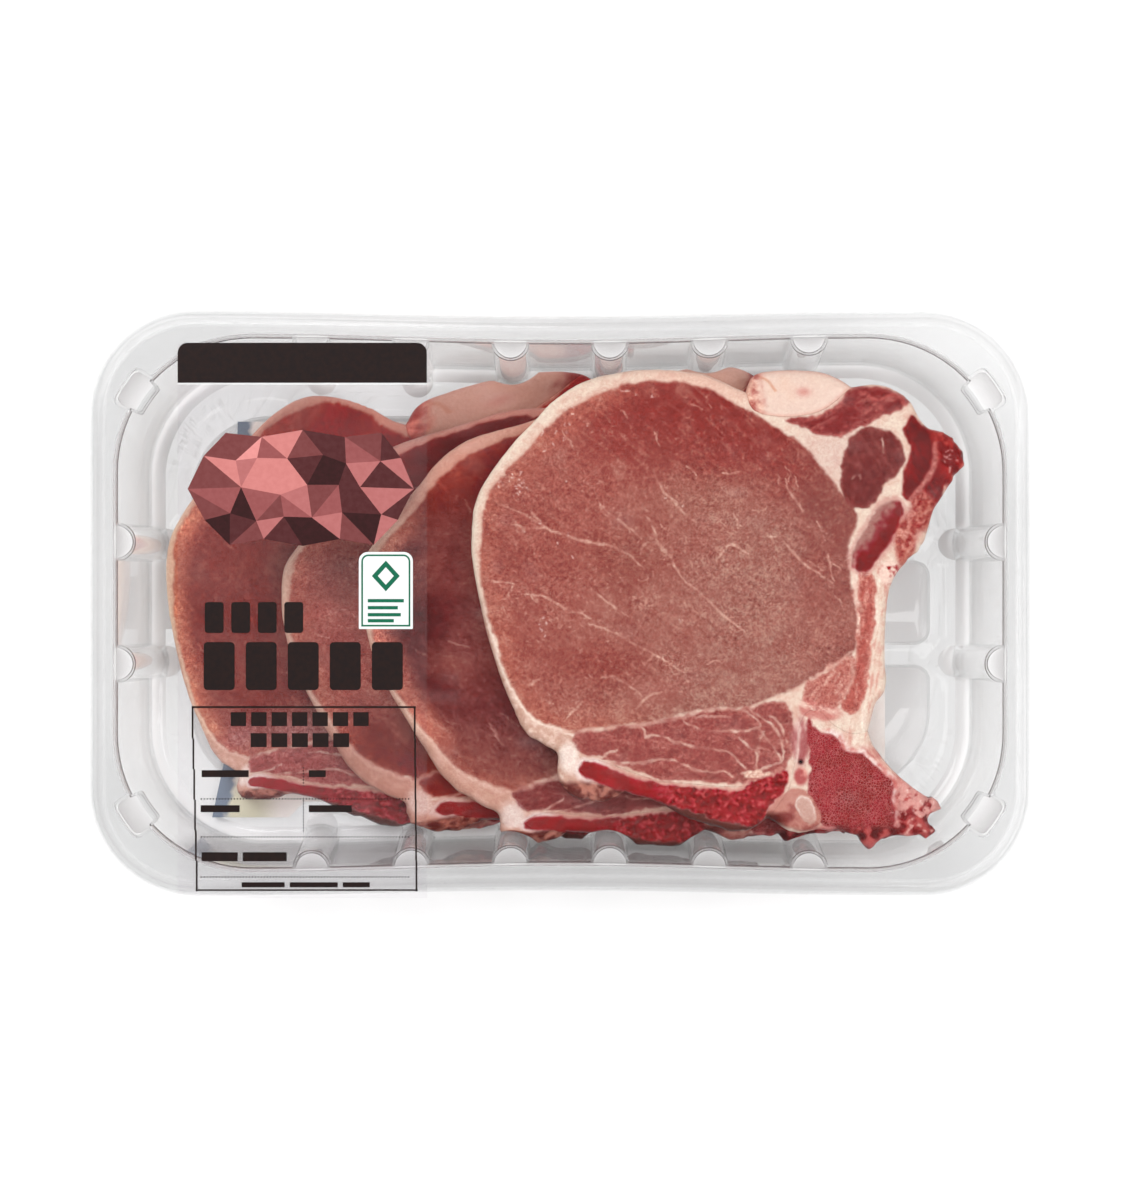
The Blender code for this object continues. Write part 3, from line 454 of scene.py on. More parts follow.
def noise(x, y, size, seed):
    """Smooth noise from -1 to 1 with features about a size across."""
    table = np.random.default_rng(seed).uniform(-1.0, 1.0, (TABLE, TABLE))
    u = x / size + 500.0
    v = y / size + 500.0
    column = np.floor(u).astype(int)
    row = np.floor(v).astype(int)
    s = u - column
    t = v - row
    s = s * s * (3.0 - 2.0 * s)
    t = t * t * (3.0 - 2.0 * t)
    a, b, c, d = [table[(column + i) % TABLE, (row + j) % TABLE] for i in (0, 1) for j in (0, 1)]
    return (a * (1 - s) + c * s) * (1 - t) + (b * (1 - s) + d * s) * t


def ridged(x, y, size, seed):
    """Curly pale lines on a dark ground, from 0 to 1."""
    u = x + 0.35 * size * noise(x, y, 0.8 * size, seed + 5)
    v = y + 0.35 * size * noise(x, y, 0.8 * size, seed + 6)
    total = np.zeros(len(x))
    for octave in (0, 1):
        crest = 1.0 - np.abs(noise(u, v, size / 1.9 ** octave, seed + 17 * octave))
        total += crest ** 3 / 2
    return total


def fractal(x, y, size, seed, octaves=3):
    """Noise of several sizes, each turned and half as large as the one before."""
    total = 0.0
    share = 1.0
    for octave in range(octaves):
        turn = 0.7 + 1.1 * octave
        u = x * math.cos(turn) - y * math.sin(turn)
        v = x * math.sin(turn) + y * math.cos(turn)
        total = total + share * noise(u, v, size / 2.0 ** octave, seed + 31 * octave)
        share *= 0.5
    return total / 1.5


def near_line(points, line, reach=8.0):
    """Distance of each point from an open line, up to a reach, and how far along it the nearest place is."""
    line = np.asarray(line, dtype=float)
    spans = np.maximum(np.linalg.norm(np.diff(line, axis=0), axis=1), 1e-9)
    starts = np.concatenate([[0.0], np.cumsum(spans)])
    nearest = np.full(len(points), reach)
    along = np.zeros(len(points))
    for first in range(0, len(spans), LINE_RUN):
        run = line[first:first + LINE_RUN + 1]
        close = (points > run.min(axis=0) - reach) & (points < run.max(axis=0) + reach)
        chosen = np.flatnonzero(close.all(axis=1))
        local = points[chosen]
        best = nearest[chosen]
        place = along[chosen]
        for i in range(first, first + len(run) - 1):
            way = (line[i + 1] - line[i]) / spans[i]
            offset = local - line[i]
            step = np.clip(offset @ way, 0.0, spans[i])
            distance = np.hypot(offset[:, 0] - step * way[0], offset[:, 1] - step * way[1])
            closer = distance < best
            best = np.where(closer, distance, best)
            place = np.where(closer, (starts[i] + step) / starts[-1], place)
        nearest[chosen] = best
        along[chosen] = place
    return nearest, along


def inside(points, loop):
    """Which points are inside a closed loop."""
    x, y = points[:, 0], points[:, 1]
    within = np.zeros(len(points), dtype=bool)
    loop = np.asarray(loop)
    for (x1, y1), (x2, y2) in zip(loop, np.roll(loop, -1, axis=0)):
        if y1 != y2:
            crosses = ((y1 > y) != (y2 > y)) & (x < x1 + (y - y1) * (x2 - x1) / (y2 - y1))
            within ^= crosses
    return within


def depth_in(points, loop):
    """How deep each point is inside a closed loop; negative outside."""
    loop = np.asarray(loop, dtype=float)
    distance, _ = near_line(points, np.vstack([loop, loop[:1]]))
    return np.where(inside(points, loop), distance, -distance)


def curve_points(corners, step):
    """Points along a smooth open curve through the given corners, about a step apart."""
    knots = np.array(corners, dtype=float)
    if len(knots) == 2:
        parts = max(1, round(float(np.linalg.norm(knots[1] - knots[0])) / step))
        return np.array([knots[0] + (knots[1] - knots[0]) * part / parts for part in range(parts + 1)])
    padded = np.vstack([2 * knots[0] - knots[1], knots, 2 * knots[-1] - knots[-2]])
    points = []
    for i in range(1, len(padded) - 2):
        before, start, end, after = padded[i - 1:i + 3]
        parts = max(1, round(float(np.linalg.norm(end - start)) / step))
        for part in range(parts):
            t = part / parts
            points.append(0.5 * (2 * start + (end - before) * t
                                 + (2 * before - 5 * start + 4 * end - after) * t ** 2
                                 + (3 * start - before - 3 * end + after) * t ** 3))
    points.append(knots[-1])
    return np.array(points)


def closed_curve(corners, step):
    """Smooth closed loop through the given corners."""
    wrapped = list(corners[-2:]) + list(corners) + list(corners[:3])
    points = curve_points(wrapped, step)
    start = int(np.argmin(np.linalg.norm(points[:len(points) // 2] - corners[0], axis=1)))
    rest = points[start + 3:]
    end = start + 3 + int(np.argmin(np.linalg.norm(rest - corners[0], axis=1)))
    return points[start:end]


def hex_grid(low, high, step):
    """Grid points in rows, every other row shifted by half a step."""
    rows = np.arange(low[1], high[1], step * math.sqrt(0.75))
    columns = np.arange(low[0], high[0], step)
    x = np.tile(columns, (len(rows), 1))
    x[1::2] += step / 2.0
    y = np.repeat(rows[:, None], len(columns), axis=1)
    return np.stack([x.ravel(), y.ravel()], axis=1)


def triangulate(loops, inner=(), hole=None):
    """Triangles that fill the first loop and keep to every loop, less those within the hole."""
    points = []
    edges = []
    for loop in loops:
        start = len(points)
        points += [tuple(point[:2]) for point in loop]
        edges += [(start + i, start + (i + 1) % len(loop)) for i in range(len(loop))]
    points += [tuple(point) for point in np.asarray(inner, dtype=float).tolist()]
    result = delaunay_2d_cdt(points, edges, [], 1, 1e-6)
    # Merged points: a corner's number in the result leads back to the first of its own numbers
    origin = [ids[0] for ids in result[3]]
    triangles = np.array([[origin[corner] for corner in triangle] for triangle in result[2]])
    if hole is not None:
        flat = np.array(points)
        triangles = triangles[~inside(flat[triangles].mean(axis=1), np.asarray(hole)[:, :2])]
    return triangles


def bridge(first, second, count):
    """Quads between two closed rows of points, from the numbers of their first points."""
    a = np.arange(count)
    b = (a + 1) % count
    return np.stack([first + a, first + b, second + b, second + a], axis=1)


def add_piece(name, points, faces, mat, nodes=(), paint=None, marks=None, sharp=None):
    """Make one piece from points in millimetres, blocks of triangles or quads, and marks on its points."""
    points = np.asarray(points, dtype=float) * METRES
    blocks = [np.asarray(block) for block in faces if len(block)]
    fans = np.vstack([block[:, [0, i, i + 1]] for block in blocks for i in range(1, block.shape[1] - 1)])
    a, b, c = (points[fans[:, i]] for i in range(3))
    if np.einsum("ij,ij->i", a, np.cross(b, c)).sum() < 0.0:
        blocks = [block[:, ::-1] for block in blocks]
    mesh = bpy.data.meshes.new(name)
    mesh.vertices.add(len(points))
    mesh.vertices.foreach_set("co", points.ravel())
    corners = np.concatenate([block.ravel() for block in blocks]).astype(np.int32)
    sizes = np.concatenate([np.full(len(block), block.shape[1]) for block in blocks])
    mesh.loops.add(len(corners))
    mesh.loops.foreach_set("vertex_index", corners)
    mesh.polygons.add(len(sizes))
    mesh.polygons.foreach_set("loop_start", np.concatenate([[0], np.cumsum(sizes)[:-1]]).astype(np.int32))
    mesh.update(calc_edges=True)
    mesh.validate()
    mesh.shade_smooth()
    if sharp is not None:
        mesh.set_sharp_from_angle(angle=math.radians(sharp))
    if paint is not None:
        layer = mesh.color_attributes.new("paint", "FLOAT_COLOR", "POINT")
        rows = np.hstack([np.asarray(paint), np.ones((len(points), 1))])
        layer.data.foreach_set("color", rows.astype(np.float32).ravel())
    for mark, values in (marks or {}).items():
        layer = mesh.attributes.new(mark, "FLOAT", "POINT")
        layer.data.foreach_set("value", np.asarray(values, dtype=np.float32))
    mesh.materials.append(mat)
    piece = bpy.data.objects.new(name, mesh)
    bpy.context.scene.collection.objects.link(piece)
    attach(piece, ROOT)
    if nodes:
        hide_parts(*nodes)


# Materials

# Strength of every small relief
RELIEF = 0.8


class Graph:
    """Short-hand for making a material's nodes."""

    def __init__(self, name):
        self.mat = bpy.data.materials.new(name)
        self.mat.use_nodes = True
        self.nodes = self.mat.node_tree.nodes
        self.links = self.mat.node_tree.links
        self.shader = self.nodes["Principled BSDF"]
        self.output = self.nodes["Material Output"]

    def add(self, kind, settings=None, **inputs):
        """Add a node; an input is a value or another node's socket."""
        node = self.nodes.new(kind)
        for key, value in (settings or {}).items():
            setattr(node, key, value)
        for key, value in inputs.items():
            self.feed(node.inputs[key.replace("_", " ")], value)
        return node

    def feed(self, socket, value):
        """Set a socket's value or link a socket to it."""
        if isinstance(value, bpy.types.NodeSocket):
            self.links.new(value, socket)
        else:
            socket.default_value = value

    def set(self, **inputs):
        """Set or link inputs of the Principled shader."""
        for key, value in inputs.items():
            self.feed(self.shader.inputs[key.replace("_", " ")], value)

    def place(self):
        """Object coordinates."""
        return self.add("ShaderNodeTexCoord").outputs["Object"]

    def mark(self, name):
        """A value stored on the mesh."""
        return self.add("ShaderNodeAttribute", {"attribute_name": name}).outputs["Fac"]

    def colour(self, name):
        """A colour stored on the mesh."""
        return self.add("ShaderNodeAttribute", {"attribute_name": name}).outputs["Color"]

    def noise(self, size, detail=2.0, rough=0.5, distortion=0.0):
        """Noise with features about the given size."""
        node = self.add("ShaderNodeTexNoise", None, Scale=1.0 / (size * METRES), Detail=detail,
                        Roughness=rough, Distortion=distortion, Vector=self.place())
        return node.outputs["Fac"]

    def cells(self, size):
        """Distance from the walls of cells of the given size."""
        node = self.add("ShaderNodeTexVoronoi", {"feature": "DISTANCE_TO_EDGE"}, Scale=1.0 / (size * METRES),
                        Vector=self.place())
        return node.outputs["Distance"]

    def math(self, operation, first, second=0.0, third=0.0):
        """One sum."""
        node = self.add("ShaderNodeMath", {"operation": operation})
        for socket, value in zip(node.inputs, (first, second, third)):
            self.feed(socket, value)
        return node.outputs[0]

    def ramp(self, value, low, high, to_low=0.0, to_high=1.0):
        """Ease a value from one range to another."""
        node = self.add("ShaderNodeMapRange", {"interpolation_type": "SMOOTHSTEP"}, Value=value)
        for key, number in (("From Min", low), ("From Max", high), ("To Min", to_low), ("To Max", to_high)):
            self.feed(node.inputs[key], number)
        return node.outputs["Result"]

    def blend(self, share, first, second, mode="MIX"):
        """Blend two colours."""
        node = self.add("ShaderNodeMix", {"data_type": "RGBA", "blend_type": mode})
        self.feed(node.inputs[0], share)
        self.feed(node.inputs[6], first)
        self.feed(node.inputs[7], second)
        return node.outputs[2]

    def bump(self, height, distance, normal=None):
        """Small relief."""
        node = self.add("ShaderNodeBump", None, Height=height, Distance=distance * METRES, Strength=RELIEF)
        if normal is not None:
            self.feed(node.inputs["Normal"], normal)
        return node.outputs["Normal"]

    def tint(self, colour, red, rest):
        """Multiply a colour by one value for red and another for green and blue."""
        factors = self.add("ShaderNodeCombineColor", None, Red=red, Green=rest, Blue=rest)
        return self.blend(1.0, colour, factors.outputs[0], "MULTIPLY")

    def sheet(self, kind, colour, settings=None, **inputs):
        """A plain shader of one colour."""
        return self.add(kind, settings, Color=colour, **inputs).outputs[0]

    def cover(self, share, under, over):
        """Lay one shader over another by a share."""
        node = self.add("ShaderNodeMixShader", None, Fac=share)
        self.links.new(under, node.inputs[1])
        self.links.new(over, node.inputs[2])
        return node.outputs[0]


def rgba(colour):
    """Linear colour with full alpha, from a display colour."""
    return (*linear(colour).tolist(), 1.0)


def meat_material(name, rough, coat, spongy=False):
    """Moist cut meat: painted colours with fibre grain, pale threads, wet relief and the lattice of bone."""
    g = Graph(name)
    fibre = g.mark("fibre")
    fine = g.noise(0.9, 3.0, 0.74, 0.5)
    grain = g.math("MULTIPLY", g.math("SUBTRACT", fine, 0.5), fibre)
    curl = g.noise(1.7, 1.0, 0.5, 1.5)
    thread = g.ramp(g.math("ABSOLUTE", g.math("SUBTRACT", curl, 0.5)), 0.0, 0.07, 1.0, 0.0)
    thread = g.math("MULTIPLY", g.math("SUBTRACT", thread, 0.3), fibre)
    red = g.math("MULTIPLY_ADD", thread, 0.24, g.math("MULTIPLY_ADD", grain, 1.5, 1.0))
    rest = g.math("MULTIPLY_ADD", thread, 0.6, g.math("MULTIPLY_ADD", grain, 2.3, 1.0))
    base = g.tint(g.colour("paint"), red, rest)
    relief = g.bump(fine, 0.22)
    if spongy:
        pore = g.mark("pore")
        sponge = g.cells(0.62)
        lattice = g.math("MULTIPLY", g.ramp(sponge, 0.02, 0.2, 1.0, 0.0), g.math("MULTIPLY", pore, 0.34))
        base = g.blend(lattice, base, rgba(CHINE_LATTICE))
        relief = g.bump(g.math("MULTIPLY", g.ramp(sponge, 0.0, 0.3), pore), 0.2, relief)
    g.set(Base_Color=base, Specular_IOR_Level=0.09, Coat_Weight=coat, Coat_Roughness=0.12, Coat_IOR=1.4)
    g.set(Roughness=g.ramp(fine, 0.3, 0.7, rough - 0.1, rough + 0.12))
    g.set(Normal=relief, Coat_Normal=relief)
    return g.mat


def clear_material(name, clearness, haze, rough, lost, most, marks=()):
    """Thin clear sheet: see-through, with bounded Fresnel gloss, haze, and painted dark lines and painted
    highlights from mesh marks.
    """
    g = Graph(name)
    g.nodes.remove(g.shader)
    see = g.sheet("ShaderNodeBsdfTransparent", (*clearness, 1.0))
    gloss = g.sheet("ShaderNodeBsdfGlossy", (0.97, 0.98, 0.98, 1.0), {"distribution": "GGX"}, Roughness=rough)
    surface = g.cover(g.mark("haze"), see, g.sheet("ShaderNodeBsdfDiffuse", rgba(haze)))
    fresnel = g.add("ShaderNodeFresnel", None, IOR=1.45).outputs[0]
    share = g.math("MINIMUM", g.math("SUBTRACT", fresnel, lost), most)
    surface = g.cover(share, surface, gloss)
    for mark, colour, strength in marks:
        line = g.sheet("ShaderNodeBsdfDiffuse", rgba(colour))
        surface = g.cover(g.math("MULTIPLY", g.mark(mark), strength), surface, line)
    g.links.new(surface, g.output.inputs["Surface"])
    return g.mat


def ink_material(name, colour, spread=0.02):
    """Printed ink, slightly uneven."""
    g = Graph(name)
    shade = g.ramp(g.noise(1.4, 3.0, 0.6), 0.3, 0.7)
    pale = [min(1.0, value + spread) for value in colour]
    ends = [(*under_film(tone).tolist(), 1.0) for tone in (colour, pale)]
    g.set(Base_Color=g.blend(shade, *ends))
    g.set(Roughness=g.ramp(g.noise(0.5), 0.3, 0.7, 0.42, 0.52), Specular_IOR_Level=0.15)
    return g.mat


# Tray

# Lug at a corner of the mouth, up to its middle: turn in degrees, share of its width outwards and inwards
LUG_PROFILE = [(-7.95, 0.0, 0.0), (-7.75, 0.16, 0.3), (-7.6, 0.38, 0.6), (-7.4, 0.6, 0.82),
               (-7.0, 0.78, 0.94), (-6.3, 0.92, 0.99), (-5.2, 0.99, 1.0), (-4.0, 1.0, 1.0),
               (-2.0, 1.0, 1.0), (0.0, 1.0, 1.0)]

# Turns in degrees at which a plain corner has stations
CORNER_TURNS = [0, 4, 8, 12, 16, 20, 23, 25.5, 44, 47, 51, 56, 61, 66, 71, 76, 81, 86, 90]

# Low bead round the flange: inset, rise, strength of its painted highlight
FLANGE_BEAD = [(3.5, 0.09, 0.175), (3.8, 0.12, 0.175), (4.1, 0.09, 0.175), (4.4, 0.0, 0.0)]

# Rounded lip and step of the mouth: inset, drop, painted dark line, painted highlight
LIP = [(-0.55, 0.0, 0.0, 0.0), (-0.28, 0.0, 0.0, 1.0), (-0.06, 0.07, 0.075, 1.0), (0.03, 0.3, 0.15, 0.2),
       (0.12, 1.0, 0.21, 0.0), (0.15, 1.2, 0.27, 0.0)]

# Ledge below the step: distance inwards, drop, painted dark line
LEDGE_FOOT = 1.1
LEDGE = [(-0.28, 0.0, 0.0), (-0.1, 0.03, 1.0), (0.0, 0.2, 1.0), (0.03, 0.5, 0.1), (0.08, LEDGE_FOOT, 0.0)]

# Edge of a raised floor panel: distance inwards, rise
PANEL_EDGE = [(0.0, 0.0), (0.25, 0.15), (0.5, 0.62), (0.85, PANEL_RISE)]


def inner_stations():
    """Stations of mouth and wall: (side, number, place, sweep) or (corner, number, turn, out, in, hand)."""
    lug = LUG_PROFILE + [(-turn, out, inward) for turn, out, inward in LUG_PROFILE[-2::-1]]
    turns = [(float(turn), 0.0, 0.0, 0) for turn in CORNER_TURNS]
    turns += [(LUG_ANGLE + turn, out, inward, (turn > 0) - (turn < 0)) for turn, out, inward in lug]
    stations = []
    for side in range(4):
        for place in (RIBS_LONG if side % 2 else RIBS_SHORT):
            stations += [("side", side, place, sweep) for sweep in range(-90, 91, 10)]
        ordered = sorted(turns)
        if side % 2:
            ordered = [(90.0 - turn, out, inward, -hand) for turn, out, inward, hand in reversed(ordered)]
        stations += [("corner", side, *turn) for turn in ordered]
    return stations


def outer_stations():
    """Stations of the flange's outer rings."""
    stations = []
    for side in range(4):
        count = 24 if side % 2 else 8
        stations += [("side", side, 2.0 * i / count - 1.0, None) for i in range(1, count)]
        stations += [("corner", side, 4.5 * i, 0.0, 0.0, 0) for i in range(21)]
    return stations


def ring(stations, shape, inset, z, rib=0.0, thin=0.0, lug_out=0.0, lug_in=0.0):
    """One closed ring at height z, inset from the shape's outline, with the wall's ribs and corner lugs."""
    half_length, half_width, radius, bow = shape
    spread = math.degrees(thin / radius) * (1.0 if lug_out else -1.0)
    centre = (half_length - radius, half_width - radius)
    points = []
    for kind, side, *rest in stations:
        if kind == "side":
            place, sweep = rest
            long_side = side % 2 == 1
            sign = 1.0 if side < 2 else -1.0
            inward = 0.0
            along = place * centre[0 if long_side else 1]
            if sweep is not None:
                angle = math.radians(sweep)
                along = place + (RIB_HALF_WIDTH - thin) * math.sin(angle)
                inward = rib * (RIB_DEPTH_LONG if long_side else RIB_DEPTH_SHORT) * math.cos(angle)
            if long_side:
                drawn = bow * (1.0 + math.cos(math.pi * min(1.0, abs(along) / centre[0]))) / 2.0
                points.append((-sign * along, sign * (half_width - inset - inward - drawn), z))
            else:
                points.append((sign * (half_length - inset - inward), sign * along, z))
        else:
            turn, out, inward, hand = rest
            angle = math.radians(turn + hand * spread + 90.0 * side)
            reach = radius - inset + lug_out * out - lug_in * inward
            middle_x = centre[0] if side in (0, 3) else -centre[0]
            middle_y = centre[1] if side in (0, 1) else -centre[1]
            points.append((middle_x + reach * math.cos(angle), middle_y + reach * math.sin(angle), z))
    return np.array(points)


def wall_inset(z):
    """Inset of the wall's inner face from the mouth at height z."""
    return LEDGE_INSET + DRAFT * (TOP - STEP_DROP - z)


def rounded_panel(low, high, low_radius, high_radius):
    """Counter-clockwise outline of a floor panel."""
    points = []
    corners = [(1, low, -1, low_radius), (1, high, 1, high_radius), (-1, high, 1, high_radius),
               (-1, low, -1, low_radius)]
    for index, (sign_x, y, sign_y, radius) in enumerate(corners):
        steps = 14 if radius > PANEL_INNER_RADIUS else 7
        for step in range(steps + 1):
            angle = math.radians(90.0 * (index - 1) + 90.0 * step / steps)
            points.append((sign_x * (PANEL_HALF_LENGTH - radius) + radius * math.cos(angle),
                           y - sign_y * radius + radius * math.sin(angle)))
    return np.array(points)


def inset_loop(loop, distance):
    """Move a counter-clockwise loop's points inwards."""
    ahead = np.roll(loop, -1, axis=0) - loop
    ahead = ahead / np.linalg.norm(ahead, axis=1)[:, None]
    normal = np.stack([-ahead[:, 1], ahead[:, 0]], axis=1)
    middle = normal + np.roll(normal, 1, axis=0)
    middle = middle / np.maximum(np.linalg.norm(middle, axis=1), 0.2)[:, None]
    reach = np.maximum((middle * normal).sum(axis=1), 0.6)
    return loop + middle * (distance / reach)[:, None]


def softened(loop, rounds):
    """A closed loop with its corners eased by averaging neighbours."""
    for _ in range(rounds):
        loop = (np.roll(loop, 1, axis=0) + loop + np.roll(loop, -1, axis=0)) / 3.0
    return loop


def tray_skin(depth):
    """Rings of one skin from the skirt's foot to the floor's edge, each with its painted dark line and
    painted highlight (dark, bright).
    """
    rim = outer_stations()
    wall = inner_stations()
    rings = [(ring(rim, OUTER, depth, TOP - SKIRT_DROP), 0.0, 0.0)]
    reach = SHOULDER - depth
    for turn in range(0, 91, 15):
        angle = math.radians(turn)
        inset = SHOULDER - reach * math.cos(angle)
        bend = ring(rim, OUTER, inset, TOP - SHOULDER + reach * math.sin(angle))
        # The top of the shoulder gets a faint painted dark line
        rings.append((bend, 0.06 if turn == 90 else 0.0, 0.0))
    rings.append((ring(rim, OUTER, 3.2, TOP - depth), 0.0, 0.0))
    for inset, rise, bright in FLANGE_BEAD:
        rings.append((ring(rim, OUTER, inset, TOP - depth + rise), 0.0, bright))
    for inset, drop, dark, bright in LIP:
        lip = ring(wall, MOUTH, inset - depth, TOP - drop - depth, 0.0, depth, LUG_OUT)
        rings.append((lip, dark, bright))
    lug_height = LUG_DROP - STEP_DROP
    for offset, drop, dark in LEDGE:
        z = TOP - STEP_DROP - drop - depth
        lug_in = LUG_IN * (1.0 - drop / lug_height)
        rings.append((ring(wall, MOUTH, LEDGE_INSET + offset - depth, z, 1.0, depth, 0.0, lug_in), dark, 0.0))
    levels = []
    for step in (1, 2, 3):
        drop = LEDGE_FOOT + (lug_height - LEDGE_FOOT) * step / 3.0
        levels.append((TOP - STEP_DROP - drop, LUG_IN * (1.0 - drop / lug_height)))
    foot = WALL + FLOOR_FILLET
    levels += [(TOP - LUG_DROP + (foot - TOP + LUG_DROP) * step / 6.0, 0.0) for step in range(1, 7)]
    for z, lug_in in levels:
        rings.append((ring(wall, MOUTH, wall_inset(z) - depth, z, 1.0, depth, 0.0, lug_in), 0.0, 0.0))
    centre = wall_inset(foot) + FLOOR_FILLET
    reach = FLOOR_FILLET + depth
    for turn in range(15, 91, 15):
        angle = math.radians(turn)
        inset = centre - reach * math.cos(angle)
        rings.append((ring(wall, MOUTH, inset, foot - reach * math.sin(angle), 1.0, depth), 0.0, 0.0))
    return rings


def join_rings(path, starts):
    """Faces between each ring and the next: quads, or triangles where a ring has other stations."""
    faces = []
    for i in range(len(path) - 1):
        first = path[i][0]
        second = path[i + 1][0]
        if len(first) == len(second):
            faces.append(bridge(starts[i], starts[i + 1], len(first)))
        elif len(first) < len(second):
            faces.append(triangulate([first, second], hole=second) + starts[i])
        else:
            filled = triangulate([second, first], hole=first)
            numbers = [starts[i + 1] + np.arange(len(second)), starts[i] + np.arange(len(first))]
            faces.append(np.concatenate(numbers)[filled][:, ::-1])
    return faces


def floor_panels(edge, base):
    """Loops of the floor inside its edge: the raised panels, each from its foot to its top."""
    loops = [edge]
    points = []
    for row, (low, high) in enumerate(PANEL_ROWS):
        low_radius = PANEL_OUTER_RADIUS if row == 0 else PANEL_INNER_RADIUS
        high_radius = PANEL_OUTER_RADIUS if row == 2 else PANEL_INNER_RADIUS
        foot = rounded_panel(low, high, low_radius, high_radius)
        for distance, rise in PANEL_EDGE:
            loop = inset_loop(foot, distance)
            loops.append(loop)
            points.append(np.column_stack([loop, np.full(len(loop), base + rise)]))
    return loops, np.vstack(points)


def tray_marks(points, dark, bright):
    """Haze, painted dark lines and painted highlight lines on the tray, with painted shade over the flange
    and on the front wall and painted light on the walls.
    """
    x, y, z = points.T
    # Grey haze over the flange, painted shade that is heavier to the left and front and a little to the right
    flange = smooth(TOP - 1.6, TOP - 0.9, z)
    flange *= (0.185 + 0.015 * fractal(x, y, 30.0, 62) + 0.035 * smooth(-30.0, -110.0, x)
               + 0.025 * smooth(-20.0, -66.0, y) + 0.01 * smooth(60.0, 110.0, x))
    haze = 0.008 + 0.006 * fractal(x, y, 14.0, 61) + flange
    wall = smooth(TOP - 2.0, TOP - 7.0, z) * smooth(1.5, 6.0, z)
    # Painted shade on the front wall beside the chops; painted light on the walls, less at the front
    front = smooth(-57.0, -62.0, y) * smooth(75.0, 50.0, x)
    painted_wall_light = wall * (0.10 + 0.03 * fractal(x, y, 12.0, 63)) * (1.0 - 0.75 * front)
    return {"dark": dark + 0.34 * wall * front, "bright": 0.3 * bright + painted_wall_light, "haze": haze}


def build_tray():
    """The clear tray as one closed sheet."""
    path = tray_skin(WALL)[::-1] + tray_skin(0.0)
    counts = [len(points) for points, _, _ in path]
    starts = np.cumsum([0] + counts)
    points = np.vstack([points for points, _, _ in path])
    dark = np.repeat([dark for _, dark, _ in path], counts)
    bright = np.repeat([bright for _, _, bright in path], counts)
    faces = join_rings(path, starts)
    for index, base, facing in ((len(path) - 1, WALL, 1), (0, 0.0, -1)):
        edge = path[index][0]
        loops, inner = floor_panels(edge, base)
        numbers = np.concatenate([starts[index] + np.arange(len(edge)), len(points) + np.arange(len(inner))])
        faces.append(numbers[triangulate(loops)][:, ::facing])
        points = np.vstack([points, inner])
    spare = np.zeros(len(points) - len(dark))
    marks = tray_marks(points, np.concatenate([dark, spare]), np.concatenate([bright, spare]))
    mat = clear_material("clear_plastic", (0.997, 0.997, 0.997), TRAY_HAZE_AND_SHADE, 0.05, 0.018, 0.5,
                         (("dark", TRAY_PAINTED_SHADE, 0.8), ("bright", TRAY_PAINTED_LIGHT, 1.0)))
    add_piece("tray_sheet", points, faces, mat, ["tray"], marks=marks, sharp=50.0)


# Film and label

def plate(outline, low, high, inner, relief):
    """Points and faces of a closed flat plate; relief lifts both of its faces."""
    flat = np.vstack([outline, inner])
    lift = relief(flat)
    count = len(flat)
    triangles = triangulate([outline], inner)
    points = np.vstack([np.column_stack([flat, low + lift]), np.column_stack([flat, high + lift])])
    return points, [triangles[:, ::-1], triangles + count, bridge(0, count, len(outline))]


def well_inside(points, loop, clear):
    """The points that are at least so far inside a loop."""
    return points[depth_in(points, loop) > clear]


def build_film():
    """The lid film: flat on the flange, with faint slack over the mouth."""
    outline = ring(outer_stations(), OUTER, SHOULDER, 0.0)[:, :2]
    inner = well_inside(hex_grid((-113.0, -70.0), (113.0, 70.0), 2.6), outline, 1.2)

    def slack(flat):
        x, y = flat.T
        free = np.clip(depth_in(flat, ring(outer_stations(), MOUTH, 0.0, 0.0)[:, :2]) / 14.0, 0.0, 1.0)
        return -0.12 * free * (1.0 + noise(x, y * 0.35, 13.0, 5))

    low = TOP + GAP
    points, faces = plate(outline, low, low + FILM_THICKNESS, inner, slack)
    x, y = points[:, :2].T
    streak = smooth(0.35, 0.9, noise(x, y, 7.0, 17) * noise(x * 0.12, y * 1.6, 1.0, 18) * 1.6)
    marks = {"haze": 0.0005 + 0.01 * streak}
    mat = clear_material("clear_film", (0.998, 0.998, 0.998), FILM_HAZE, 0.06, 0.026, 0.03)
    add_piece("lid_film_sheet", points, faces, mat, ["lid_film"], marks=marks, sharp=40.0)


LABEL_LOW = TOP + 2.0 * GAP + FILM_THICKNESS
LABEL_HIGH = LABEL_LOW + LABEL_THICKNESS
LABEL_FRONT = OUTER[1] + GAP
LABEL_BEND = SHOULDER + 2.0 * GAP + FILM_THICKNESS


def label_section(lift):
    """Points (y, z) of the label's face from its top edge to its turned-down front edge."""
    bend_y = LABEL_BEND - LABEL_FRONT
    bend_z = LABEL_LOW - LABEL_BEND
    flat = [(LABEL_TOP + (bend_y - LABEL_TOP) * i / 24.0, LABEL_LOW + lift) for i in range(25)]
    radius = LABEL_BEND + lift
    turns = [math.radians(10.0 * i) for i in range(1, 10)]
    bent = [(bend_y - radius * math.sin(turn), bend_z + radius * math.cos(turn)) for turn in turns]
    return flat + bent + [(-LABEL_FRONT - lift, TOP - LABEL_TURN_DOWN)]


